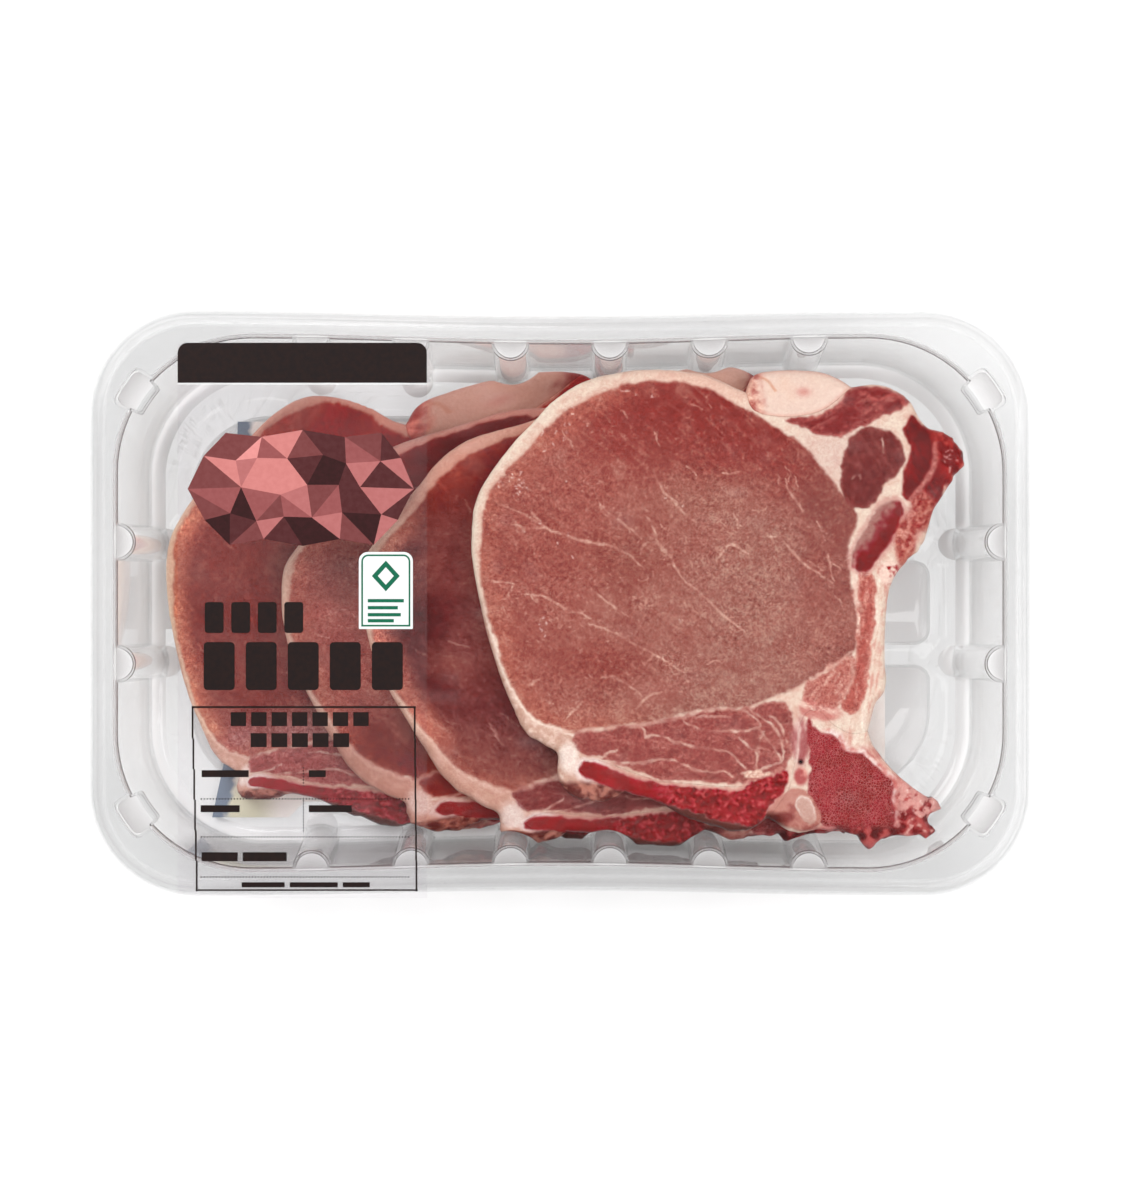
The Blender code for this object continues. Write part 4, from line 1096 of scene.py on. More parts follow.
def label_strip():
    """The label from its top edge down over the front edge, as points and faces."""
    section = np.array(label_section(0.0) + label_section(LABEL_THICKNESS)[::-1])
    left, right = LABEL_SPAN
    columns = np.linspace(left, right, 2 + int((right - left) / 6.0))
    count = len(section)
    points = np.vstack([np.column_stack([np.full(count, x), section]) for x in columns])
    faces = [bridge(k * count, (k + 1) * count, count)[:, [0, 3, 2, 1]] for k in range(len(columns) - 1)]
    i = np.arange(count // 2 - 1)
    cap = np.stack([i, i + 1, count - 2 - i, count - 1 - i], axis=1)
    faces += [cap, (cap + (len(columns) - 1) * count)[:, ::-1]]
    return points, faces


# Size of one pixel of the view on the label's plane, and the point under the view's middle
PIXEL = 0.24364
CAMERA_AXIS = (2.4, 0.7)


def on_label(px, py):
    """A place on the label's plane from its pixel in the view."""
    return CAMERA_AXIS[0] + (px - 570.0) * PIXEL, CAMERA_AXIS[1] + (600.0 - py) * PIXEL


# Corners without a radius
SQUARE = (0.0, 0.0, 0.0, 0.0)


def box_loop(left, top, right, bottom, radii=SQUARE):
    """Counter-clockwise outline of a box in view pixels, with a radius for each corner from the top left."""
    points = []
    corners = [((left, bottom), radii[3], 180.0), ((right, bottom), radii[2], 270.0),
               ((right, top), radii[1], 0.0), ((left, top), radii[0], 90.0)]
    for (x, y), radius, start in corners:
        if radius == 0.0:
            points.append(on_label(x, y))
            continue
        middle_x = x + (radius if x == left else -radius)
        middle_y = y + (radius if y == top else -radius)
        for step in range(7):
            angle = math.radians(start + 15.0 * step)
            points.append(on_label(middle_x + radius * math.cos(angle), middle_y - radius * math.sin(angle)))
    return np.array(points)


class Print:
    """Flat ink on the label: loops gathered into one piece of one colour."""

    def __init__(self, name, colour, level=0.02, spread=0.02):
        self.name = name
        self.mat = ink_material(name, colour, spread)
        self.level = LABEL_HIGH + level
        self.points = np.zeros((0, 3))
        self.faces = []

    def add(self, outline, hole=None):
        """One filled loop, with a hole if one is given."""
        loops = [outline] if hole is None else [outline, hole]
        flat = np.vstack(loops)
        filled = triangulate(loops, hole=hole)
        count = len(flat)
        start = len(self.points)
        self.points = np.vstack([self.points, np.column_stack([flat, np.full(count, self.level)]),
                                 np.column_stack([flat, np.full(count, self.level + 0.02)])])
        self.faces += [filled[:, ::-1] + start, filled + start + count]
        first = 0
        for loop in loops:
            side = bridge(start + first, start + first + count, len(loop))
            self.faces.append(side if first == 0 else side[:, ::-1])
            first += len(loop)

    def box(self, left, top, right, bottom, radii=SQUARE):
        """One filled box in view pixels."""
        self.add(box_loop(left, top, right, bottom, radii))

    def row(self, count, left, pitch, width, top, bottom, radii=SQUARE):
        """Equal boxes side by side."""
        for i in range(count):
            self.box(left + pitch * i, top, left + pitch * i + width, bottom, radii)

    def frame(self, left, top, right, bottom, width, radii):
        """An open box in view pixels, with lines of the given width."""
        inner = [max(0.0, radius - width) for radius in radii]
        self.add(box_loop(left, top, right, bottom, radii),
                 box_loop(left + width, top + width, right - width, bottom - width, inner))

    def finish(self):
        """Make the piece."""
        add_piece(self.name, self.points, self.faces, self.mat, sharp=30.0)


def faceted_field(prints):
    """One long six-sided field cut into uneven facets, light at its upper left and dark at its foot."""
    rng = np.random.default_rng(77)
    outline = [(188, 489), (204, 456), (226, 433), (262, 437), (303, 430), (345, 437), (382, 433), (401, 458),
               (414, 489), (398, 520), (374, 545), (340, 539), (303, 546), (264, 539), (230, 545), (205, 520)]
    inner = []
    for row, y in enumerate((460, 489, 518)):
        for column in range(6 - row % 2):
            x = 232 + 29 * column + 14.5 * (row % 2)
            inner.append((x + rng.uniform(-7, 7), y + rng.uniform(-6, 6)))
    corners = np.array(outline + inner, dtype=float)
    for triangle in triangulate([outline], inner):
        loop = np.array([on_label(*corners[corner]) for corner in triangle])
        x, y = corners[triangle].mean(axis=0)
        level = 0.55 + 0.0032 * (y - 430.0) + 0.0011 * (x - 188.0) + rng.uniform(-0.45, 0.45)
        shade = int(np.clip(level * 6.0 - 1.2, 0, len(prints) - 1))
        turn = np.cross(loop[1] - loop[0], loop[2] - loop[0])
        prints[shade].add(loop if turn > 0 else loop[::-1])


# Short bars of the form: left, top, right, bottom
BARS = [(202, 770, 249, 777), (309, 770, 326, 777), (201, 805, 240, 812), (309, 805, 352, 812),
        (202, 852, 238, 861), (243, 852, 287, 861), (242, 882, 285, 887), (290, 882, 338, 887),
        (343, 882, 370, 887)]


def print_black():
    """Head bar, rows of blocks, and a form with short bars, dotted rows and leaning side lines."""
    black = Print("label_black", INK_BLACK)
    black.box(178, 343, 427, 383, (10, 10, 0, 0))
    black.row(4, 205, 26.5, 19, 602, 633, (3, 3, 3, 3))
    black.row(5, 204, 42.0, 31, 642, 690, (4, 4, 4, 4))
    black.row(7, 231, 20.4, 15.5, 712, 726)
    black.row(5, 251, 20.6, 16, 733, 747)
    for bar in BARS:
        black.box(*bar)
    for y in (798, 836, 876):
        black.row(70, 201, 3.0, 1.4, y, y + 1.4)
    for top, dots in ((767, 7), (800, 11)):
        for i in range(dots):
            black.box(303, top + 3.0 * i, 304.4, top + 3.0 * i + 1.4)
    black.box(192, 706, 416, 708)
    for x, shift in ((192, 5.0), (414, 2.0)):
        for i in range(6):
            left = x + shift * i / 6.0
            top = 708 + 30.5 * i
            black.box(left, top, left + 1.8, top + 30.5)
    black.box(196, 889, 418, 890.6)
    black.finish()


def diamond(size):
    """Outline of the badge's diamond."""
    turns = [math.radians(90 * i) for i in range(4)]
    return np.array([on_label(386 + size * math.cos(t), 576 - size * 1.1 * math.sin(t)) for t in turns])


def print_badge():
    """A white badge with a green frame, an open diamond and bars."""
    white = Print("label_white", INK_WHITE, 0.0)
    white.box(359, 552, 413, 629, (9, 9, 1, 1))
    white.box(178, 383.4, 427, 384.6)
    white.finish()
    green = Print("label_green", INK_GREEN)
    green.frame(361.5, 554.5, 410.5, 626.5, 1.7, (7, 7, 0, 0))
    green.add(diamond(14.0), diamond(8.0))
    for top, width in ((599, 36), (606, 30), (613, 33), (619, 26)):
        green.box(368, top, 368 + width, top + 3.4)
    green.finish()


def build_label():
    """The clear label and its print: blocks, bars and lines, a plain badge and one faceted field."""
    points, faces = label_strip()
    x, y = points[:, :2].T
    marks = {"haze": 0.006 + 0.004 * noise(x * 0.1, y, 1.3, 27)}
    mat = clear_material("label_film", (0.985, 0.98, 0.985), LABEL_HAZE, 0.12, 0.022, 0.03)
    add_piece("label_sheet", points, faces, mat, ["label"], marks=marks, sharp=40.0)
    print_black()
    print_badge()
    prints = [Print("label_facet_%d" % i, colour, 0.0, 0.025) for i, colour in enumerate(FACET_SHADES)]
    faceted_field(prints)
    for item in prints:
        item.finish()


# Pad

# Pitch of the quilting, and the pad's left edge
QUILT_PITCH = 3.4
LEFT_EDGE = [(-82.0, 46.0), (-84.5, -36.0), (-88.5, -54.5)]


def build_pad():
    """The absorbent pad: quilted dimples, a blue-grey film edge on the left and a soaked front corner."""
    low = WALL + PANEL_RISE + GAP
    ends = zip(PAD_OUTLINE, PAD_OUTLINE[1:] + PAD_OUTLINE[:1])
    outline = np.vstack([curve_points([start, end], 1.2)[:-1] for start, end in ends])
    inner = well_inside(hex_grid((-90.0, -56.0), (84.0, 47.0), 1.15), outline, 0.5)
    flat = np.vstack([outline, inner])
    x, y = flat.T
    edge = depth_in(flat, outline)
    u = (x + y) / QUILT_PITCH * math.pi
    v = (x - y) / QUILT_PITCH * math.pi
    dimple = (np.cos(u) * np.cos(v)) ** 2
    puff = smooth(0.0, 3.0, edge)
    lift = 0.28 * puff * dimple - 0.5 * (1.0 - smooth(0.0, 1.6, edge)) - 0.25
    lift += 0.12 * fractal(x, y, 9.0, 12) * puff
    triangles = triangulate([outline], inner)
    count = len(flat)
    points = np.vstack([np.column_stack([flat, np.full(count, low)]),
                        np.column_stack([flat, low + PAD_THICKNESS + lift])])
    sides = bridge(0, count, len(outline))
    strip, _ = near_line(flat, LEFT_EDGE)
    band = 1.0 - smooth(3.2, 3.9, strip + 0.3 * noise(x, y, 6.0, 3))
    colour = layered(PAD_WHITE, [
        (PAD_STRIP, band),
        (PAD_SOAKED, (1.0 - band) * smooth(-42.0, -50.0, y) * smooth(-70.0, -78.0, x)),
        (PAD_STAIN, 0.35 * smooth(0.35, 0.8, fractal(x, y, 16.0, 7))),
    ])
    g = Graph("absorbent_pad")
    shade = g.ramp(g.noise(0.5, 3.0, 0.7), 0.3, 0.7, 0.95, 1.03)
    g.set(Base_Color=g.tint(g.colour("paint"), shade, shade), Roughness=0.7)
    g.set(Normal=g.bump(g.noise(0.35, 3.0, 0.7), 0.06))
    add_piece("pad", points, [triangles[:, ::-1], triangles + count, sides], g.mat,
              ["absorbent_pad"], paint=np.tile(linear(colour), (2, 1)), sharp=60.0)


# Chops

def thin_plate(source, target):
    """The smooth bending of the plane that takes the source points to the target points."""
    source = np.array(source, dtype=float)
    target = np.array(target, dtype=float)
    count = len(source)

    def kernel(distance):
        return np.where(distance > 0.0, distance ** 2 * np.log(np.maximum(distance, 1e-9)), 0.0)

    plane = np.hstack([np.ones((count, 1)), source])
    system = np.zeros((count + 3, count + 3))
    system[:count, :count] = kernel(np.linalg.norm(source[:, None] - source[None], axis=2))
    system[:count, count:] = plane
    system[count:, :count] = plane.T
    weights = np.linalg.solve(system, np.vstack([target, np.zeros((3, 2))]))

    def bend(points):
        near = kernel(np.linalg.norm(points[:, None] - source[None], axis=2))
        return near @ weights[:count] + np.hstack([np.ones((len(points), 1)), points]) @ weights[count:]

    return bend


def soft_limit(value, limit):
    """Ease sizes that near or pass a limit back under it."""
    start = limit - PRESS_EASE
    over = np.maximum(value - start, 0.0)
    return np.where(value <= start, value, limit - PRESS_EASE * np.exp(-over / PRESS_EASE))


def keep_inside_wall(points, z):
    """Press points that would pass the tray's wall or its ribs back inside them."""
    inset = wall_inset(z) + 2 * GAP
    centre_x = MOUTH[0] - MOUTH[2]
    centre_y = MOUTH[1] - MOUTH[2]
    x, y = points.T
    off = np.min([np.abs(x - place) for place in RIBS_LONG], axis=0) / (RIB_HALF_WIDTH + RIB_ROOM)
    rib = RIB_DEPTH_LONG * np.maximum(np.cos(math.pi / 2.0 * np.minimum(off, 1.0)), 0.0) ** RIB_FULLNESS
    bow = MOUTH[3] * (1.0 + np.cos(math.pi * np.minimum(np.abs(x) / centre_x, 1.0))) / 2.0
    beside = np.abs(x) < centre_x
    side_y = np.sign(y) * soft_limit(np.abs(y), MOUTH[1] - bow - inset - rib)
    away = np.hypot(np.abs(x) - centre_x, np.abs(y) - centre_y)
    shrink = soft_limit(away, MOUTH[2] - inset) / np.maximum(away, 1e-6)
    corner = ~beside & (np.abs(y) > centre_y)
    shrunk_x = np.sign(x) * (centre_x + (np.abs(x) - centre_x) * shrink)
    shrunk_y = np.sign(y) * (centre_y + (np.abs(y) - centre_y) * shrink)
    new_x = np.where(corner, shrunk_x, x)
    new_y = np.where(corner, shrunk_y, np.where(beside, side_y, y))
    return np.stack([new_x, new_y], axis=1)


# Places where a chop's edge is ragged: centre, reach, strength
RAGGED = [((-26.0, -54.0), 9.0, 0.55), ((-18.0, -59.0), 8.0, 0.8), ((-38.0, -40.0), 9.0, 0.3),
          ((62.0, -64.0), 9.0, 1.3), ((46.0, -69.0), 9.0, 0.9), ((30.0, -66.5), 8.0, 0.5),
          ((10.0, -65.0), 12.0, 0.7), ((66.0, 26.0), 12.0, 0.7), ((54.0, 40.0), 6.0, 0.4),
          ((58.0, 2.0), 8.0, 0.4), ((0.0, 46.0), 10.0, 0.25)]


def rag(points, seed):
    """Small shifts that make an edge uneven, strongest in the ragged places."""
    x, y = points.T
    size = np.full(len(points), 0.12)
    for centre, reach, strength in RAGGED:
        away = np.hypot(x - centre[0], y - centre[1])
        size = np.maximum(size, strength * (1.0 - smooth(0.4 * reach, reach, away)))
    shift = np.stack([fractal(x, y, 2.6, seed), fractal(x, y, 2.6, seed + 7)], axis=1)
    return points + shift * size[:, None]


def wandering(q, size, amount, seed):
    """Points shifted a little, so that lines and edges painted at them wander."""
    x, y = q.T
    return q + amount * np.stack([fractal(x, y, size, seed, 2), fractal(x, y, size, seed + 5, 2)], axis=1)


def streaks(x, y, heading, size, seed):
    """Noise drawn out along a heading in degrees."""
    turn = math.radians(heading)
    along = x * math.cos(turn) + y * math.sin(turn)
    across = y * math.cos(turn) - x * math.sin(turn)
    return fractal(0.22 * along, across, size, seed)


def random_strokes(seed, count, region, length, width, heading, spread):
    """Thin wandering lines in a box: (half width, line)."""
    rng = np.random.default_rng(seed)
    lines = []
    left, low, right, top = region
    for _ in range(count):
        place = np.array((rng.uniform(left, right), rng.uniform(low, top)))
        turn = math.radians(rng.normal(heading, spread))
        line = [place]
        steps = int(rng.integers(2, 6))
        for _ in range(steps):
            turn += rng.normal(0.0, 0.5)
            reach = rng.uniform(0.6, 1.4) * length / steps
            place = place + reach * np.array((math.cos(turn), math.sin(turn)))
            line.append(place)
        lines.append((rng.uniform(0.6, 1.3) * width, np.array(line)))
    return lines


def cover_of(points, lines, soft=0.16):
    """How strongly thin tapering lines cover each point."""
    cover = np.zeros(len(points))
    for width, line in lines:
        line = np.asarray(line)
        reach = width + soft
        close = (points > line.min(axis=0) - reach - 1.0) & (points < line.max(axis=0) + reach + 1.0)
        chosen = np.flatnonzero(close.all(axis=1))
        if len(chosen) == 0:
            continue
        distance, along = near_line(points[chosen], curve_points(line, 0.8), 2.0 + reach)
        taper = width * (0.4 + 0.6 * np.sin(math.pi * np.clip(along, 0.04, 0.96)))
        strength = 1.0 - smooth(0.3 * taper, taper + soft, distance)
        cover[chosen] = np.maximum(cover[chosen], strength)
    return cover


def specks(points, seed, count, centre, spread, width):
    """Scattered short painted highlights round a place, from 0 to 1."""
    rng = np.random.default_rng(seed)
    lines = []
    for _ in range(count):
        place = np.array(centre) + rng.normal(0.0, 1.0, 2) * np.array(spread)
        first, second = rng.normal(0.0, 0.35, (2, 2))
        line = np.array([place, place + first, place + first + second])
        lines.append((width * rng.uniform(0.3, 0.9), line))
    return cover_of(points, lines, 0.1)


def spot(x, y, centre, size):
    """A soft round or oval spot, from 0 to 1."""
    return np.exp(-((x - centre[0]) / size[0]) ** 2 - ((y - centre[1]) / size[1]) ** 2)


class Face:
    """A cut face: its points in the chop's own frame, and the colours and marks laid on them so far."""

    def __init__(self, q, number):
        self.q = q
        self.x, self.y = q.T
        self.number = number
        self.seed = 100 * number
        self.crooked = wandering(q, 1.7, 0.5, self.seed + 50)
        self.broken = np.clip(0.7 + 0.7 * noise(self.x, self.y, 1.5, self.seed + 6), 0.0, 1.0)
        self.pore = np.zeros(len(q))

    def rough(self, size, key):
        """Noise of the given size."""
        return fractal(self.x, self.y, size, self.seed + key)

    def grain(self, heading, size, key):
        """Noise drawn out along a heading."""
        return streaks(self.x, self.y, heading, size, self.seed + key)

    def spot(self, centre, size):
        """A soft spot."""
        return spot(self.x, self.y, centre, size)

    def depth(self, loop, step):
        """How deep each point is in a smooth loop with a wandering edge."""
        return depth_in(self.crooked, closed_curve(loop, step))

    def from_line(self, line):
        """Distance from a smooth wandering line."""
        return near_line(self.crooked, curve_points(line, 1.0))[0]

    def tint(self, tone, share):
        """Lay a colour over the face."""
        self.colour = mix(self.colour, tone, share)

    def retune(self, share, fibre):
        """Draw the fibre mark towards a value."""
        self.fibre = self.fibre * (1.0 - share) + fibre * share


def paint_eye(face):
    """The large round muscle: how deep each point lies in it, and its lean colour."""
    x, y, seed = face.x, face.y, face.seed
    depth = depth_in(wandering(face.q, 2.4, 0.45, seed + 1), closed_curve(EYE, 1.2))
    depth += 0.2 * noise(x, y, 0.8, seed + 2) + NARROWER_RIM[face.number] * smooth(8.0, 30.0, y)
    warm = (1.0 - smooth(0.5, 7.5, depth + 1.5 * face.rough(4.0, 22))) * smooth(2.0, -24.0, x)
    blotch = face.rough(6.5, 4)
    thread = face.grain(-38.0, 0.75, 20)
    layers = [(EYE_PALE, smooth(-30.0, 24.0, 0.8 * x - 0.5 * y + 9.0 * face.rough(16.0, 3))),
              (EYE_TOP, 0.9 * smooth(10.0, 36.0, y + 0.25 * x + 4.0 * face.rough(9.0, 21))),
              (EYE_RIGHT, 0.85 * smooth(20.0, 38.0, x)),
              (EYE_WARM, 0.75 * warm),
              (EYE_BLOTCH, 0.32 * smooth(0.05, 0.75, blotch)),
              (EYE_FROST, 0.36 * smooth(0.05, 0.75, -blotch)),
              (EYE_FROST, 0.34 * smooth(0.1, 0.8, thread)),
              (EYE_BLOTCH, 0.3 * smooth(0.1, 0.8, -thread))]
    if face.number == TOP_CHOP:
        bent = x + 3.0 * noise(x, y, 9.0, 46)
        layers += [(tone, strength * spot(bent, y, centre, size)) for centre, size, tone, strength in PATCHES]
    curls = ridged(x, y, 1.2, seed + 23)
    layers += [(EYE_FROST, 0.5 * smooth(0.6, 0.97, curls) * (1.0 - 0.4 * smooth(20.0, 40.0, y))),
               (EYE_BLOTCH, 0.32 * smooth(0.4, 0.12, curls))]
    return depth, layered(EYE_RED, layers)


def paint_fat(face, rim, eye):
    """Fat of the rim and between the muscles: creamy on top, glassy and crumbly low on the left, with painted
    light along its left edge and painted shade at its outermost edge low on the left.
    """
    x, y = face.x, face.y
    low_left = smooth(-4.0, -20.0, y) * smooth(0.0, -16.0, x)
    mottle = face.rough(3.0, 2)
    strands = face.grain(80.0, 0.9, 71)
    right = smooth(36.0, 44.0, x) * smooth(2.0, -6.0, y)
    crumb = face.rough(1.1, 37)
    line = np.exp(-((eye + 0.45) / 0.42) ** 2) * low_left
    # Painted light along the rim's rounded left edge
    edge = smooth(1.5, 0.2, rim) * smooth(-14.0, -4.0, y) * smooth(-20.0, -30.0, x)
    face.colour = layered(FAT, [
        (FAT_PINK, np.clip(0.12 + 0.5 * mottle + 0.3 * face.rough(1.1, 26), 0.0, 1.0)),
        (FAT_TOP, 0.8 * smooth(34.0, 42.0, y) * smooth(-16.0, 0.0, x)),
        (FAT_PINK, 0.4 * smooth(-1.5, -0.3, eye) * smooth(-4.0, -20.0, x)),
        (FAT_STRAND, 0.75 * right * smooth(-0.1, 0.6, strands)),
        (FAT_STRAND_PALE, 0.6 * right * smooth(0.1, 0.7, -strands)),
        (mix(FAT_DEEP, FAT_GLASSY, smooth(-0.4, 0.6, crumb)), 0.85 * low_left),
        (FAT_LINE, 0.85 * line),
        # Painted shade at the outermost edge low on the left, then painted light along the left edge
        (FAT_EDGE_SHADE, 0.2 * smooth(0.7, 0.0, rim) * low_left),
        (FAT_EDGE_LIGHT, 0.8 * edge),
        (FAT_COOL, 0.6 * face.spot((37.0, 26.0), (10.0, 9.0))),
    ])
    if face.number < TOP_CHOP:
        face.tint(FAT_LOWER, 0.5)
    face.lift = 0.3 * low_left * smooth(2.5, 0.5, rim) * crumb + 0.08 * mottle


def paint_muscles(face):
    """Small muscles, each with its own fibres, and the pale band and ridge across two of them."""
    for loop, growth, tone, pale, heading in MUSCLES:
        depth = face.depth(loop, 1.0) + growth + 0.25 * noise(face.x, face.y, 1.2, face.seed + 27)
        share = smooth(-0.35, 0.4, depth)
        face.tint(layered(tone, [
            (pale, 0.6 * smooth(0.0, 0.7, face.grain(heading, 0.9, 60))),
            (np.array(tone) * 0.8, 0.4 * smooth(0.05, 0.75, face.rough(2.2, 5))),
            (pale, 0.45 * np.exp(-((depth - 0.3) / 0.6) ** 2)),
            (pale, 0.34 * smooth(0.1, 0.6, face.rough(1.2, 67))),
        ]), share)
        face.fibre = np.maximum(face.fibre, share)
        face.lift += 0.24 * smooth(-0.2, 1.8, depth) - 0.06 * (1.0 - smooth(0.0, 0.6, np.abs(depth)))
    face.tint(BAND_PINK, 0.72 * smooth(1.5, 0.2, face.from_line(OUTER_BAND)) * smooth(13.0, 15.0, face.y))
    ridge = face.from_line(UPPER_RIDGE)
    face.tint(RIDGE_PINK, 0.6 * smooth(0.9, 0.1, ridge))
    face.lift += 0.25 * smooth(1.2, 0.0, ridge)


def paint_veins(face, eye):
    """Fat veins and flecks of the eye muscle, and the seams between the small muscles."""
    veins = random_strokes(face.seed + 41, 26, EYE_BOX, 4.0, 0.14, -35.0, 28.0)
    flecks = random_strokes(face.seed + 42, 420, EYE_BOX, 1.0, 0.12, -30.0, 70.0)
    flecks += random_strokes(face.seed + 43, 150, FLECKED_BOX, 1.1, 0.15, -20.0, 70.0)
    if face.number == TOP_CHOP:
        veins += VEINS
    vein = cover_of(wandering(face.q, 1.2, 0.3, face.seed + 51), veins) * smooth(-0.2, 1.0, eye)
    face.tint(VEIN, 0.72 * vein * face.broken)
    face.tint(VEIN, 0.4 * cover_of(face.q, flecks) * smooth(0.3, 1.6, eye) * face.broken)
    thin = cover_of(face.crooked, SEAMS, 0.32)
    pale = mix(FAT, FAT_PINK, np.clip(0.5 + 0.7 * face.rough(2.0, 28), 0.0, 1.0))
    face.tint(pale, 0.8 * thin * face.broken)
    face.fibre = face.fibre * (1.0 - 0.6 * np.maximum(thin, 0.4 * vein))
    face.lift -= 0.08 * thin


def paint_strands(face):
    """Pink strands beside the star of fat, down to the spongy bone."""
    corner = face.spot((35.5, -37.6), (5.2, 2.3)) + 0.8 * face.spot((31.0, -35.4), (2.2, 2.6))
    corner = np.clip(corner, 0.0, 1.0)
    pinks = mix(STRAND_PINK, STRAND_PALE, smooth(-0.4, 0.5, face.grain(-25.0, 1.1, 61)))
    face.tint(pinks, 0.85 * smooth(0.3, 0.75, corner))
    strand = face.grain(84.0, 1.0, 62)
    neck = smooth(0.25, 0.7, face.spot((29.5, -44.5), (2.6, 6.5)))
    face.tint(mix(NECK_PINK, NECK_PALE, smooth(-0.35, 0.5, strand)), 0.85 * neck)
    face.lift += 0.2 * neck * strand


def paint_marrow(face):
    """Marrow of the cut transverse bone: purple-grey on its left, dark red on its right and below."""
    x, y = face.x, face.y
    depth = face.depth(MARROW, 0.8) + 0.15
    share = smooth(-0.35, 0.4, depth)
    across = x - 0.62 * y - 44.6 + 1.5 * smooth(6.0, 1.0, y)
    face.tint(MARROW_RIM, 0.7 * smooth(-1.5, -0.5, depth) * (1.0 - share))
    face.tint(layered(MARROW_GREY, [
        (MARROW_RED, smooth(-2.4, 2.0, across + 2.0 * face.rough(1.5, 8))),
        (MARROW_DARK, 0.8 * smooth(0.0, 0.8, face.rough(1.4, 29)) * smooth(-1.0, 1.5, across)),
        (MARROW_PALE, 0.28 * smooth(0.3, 0.8, face.rough(1.1, 38)) * smooth(1.0, -1.5, across)),
    ]), share)
    face.retune(share, 0.5)
    face.lift += share * (0.3 * face.rough(1.5, 9) - 0.1)


def paint_raw_side(face):
    """Raw flesh right of the marrow, torn bits below it, the wet lump at the far right, the strip's line."""
    x, y = face.x, face.y
    flesh = np.clip(face.spot((55.2, 4.0), (2.6, 6.0)) + 0.9 * face.spot((60.0, 12.0), (3.4, 5.0)), 0.0, 1.0)
    raw = smooth(0.2, 0.6, flesh)
    face.tint(mix(RAW_PALE, RAW_RED, smooth(-0.35, 0.45, face.grain(58.0, 1.3, 10))), 0.9 * raw)
    crisp = face.rough(0.9, 66)
    face.tint(RAW_CRUMB, 0.55 * raw * smooth(0.05, 0.5, crisp))
    face.tint(RAW_DARK, 0.5 * raw * smooth(0.1, 0.6, -crisp))
    face.fibre = np.maximum(face.fibre, 0.8 * raw)
    torn = face.spot((51.4, -3.2), (3.0, 3.4))
    face.tint(mix(TORN_PALE, TORN_RED, smooth(-0.1, 0.3, face.rough(1.5, 30))), smooth(0.3, 0.65, torn))
    face.lift += 0.5 * np.clip(flesh + torn, 0.0, 1.0) * face.rough(1.5, 11)
    lump = smooth(62.8, 66.0, x + 0.25 * (y - 22.0)) * smooth(9.0, 15.0, y)
    knob = face.rough(1.9, 31)
    face.tint(mix(LUMP_RED, LUMP_PINK, smooth(-0.4, 0.6, knob)), 0.85 * lump)
    face.lift += 0.6 * lump * knob
    face.tint(LINE_PALE, 0.75 * smooth(0.8, 0.2, face.from_line(STRIP_LINE)) * face.broken)


def paint_chine(face):
    """Spongy chine bone under a thin white skin, with shreds outside it."""
    x, y = face.x, face.y
    depth = face.depth(POROUS, 1.0) + 0.2 + 0.35 * noise(x, y, 1.6, face.seed + 32)
    share = smooth(-0.4, 0.4, depth)
    skin = smooth(-2.2, -0.4, depth) * (1.0 - share) * smooth(33.0, 37.0, x)
    glass = smooth(-0.35, 0.35, face.rough(2.0, 34))
    face.tint(mix(SKIN_WHITE, SKIN_PINK, glass), 0.85 * skin)
    face.lift += 0.3 * skin * (0.5 - glass)
    beside = smooth(-5.0, -1.6, depth) * (1.0 - smooth(-1.6, -0.8, depth))
    outer = beside * smooth(40.0, 46.0, x) * smooth(-44.0, -48.0, y)
    face.tint(mix(SHRED_PALE, SHRED_RED, smooth(-0.2, 0.5, face.grain(-42.0, 1.0, 63))), 0.8 * outer)
    face.tint(layered(CHINE_RED, [
        (CHINE_DEEP, smooth(-0.5, 0.6, face.rough(4.5, 12) + 0.03 * (x - 40.0))),
        (CHINE_PALE, 0.35 * smooth(0.5, 0.95, ridged(x, y, 0.8, face.seed + 33))),
        (CHINE_DARK, 0.5 * smooth(1.4, 0.0, depth) * smooth(-40.0, -60.0, y)),
    ]), share)
    face.pore = np.maximum(face.pore, share * np.clip(0.75 + 0.5 * face.rough(3.0, 64), 0.0, 1.0))
    face.retune(share, 0.6)


def paint_ragged_end(face):
    """Ragged shreds at the chine bone's far tip and along its lower edge, with painted shade along that edge.
    """
    x, y = face.x, face.y
    tip = smooth(51.0, 55.0, x) * smooth(-51.5, -55.5, y)
    lower = smooth(-64.6, -66.6, y) * smooth(30.0, 34.0, x)
    share = np.clip(tip + lower, 0.0, 1.0)
    knob = face.rough(1.9, 13)
    pale_bits = smooth(-0.1, 0.4, face.rough(1.1, 35) + 0.10 * (y + 63.5) * tip)
    face.tint(layered(RAGGED_DARK, [
        (RAGGED_PINK, smooth(-0.4, 0.4, knob)),
        (RAGGED_PALE, 0.85 * pale_bits * tip),
        # Painted shade along the lower edge
        (RAGGED_SHADE, 0.7 * lower * (1.0 - tip) * smooth(0.3, -0.5, knob)),
    ]), share)
    face.pore = face.pore * (1.0 - share)
    face.lift += 0.85 * share * knob - 0.25 * share


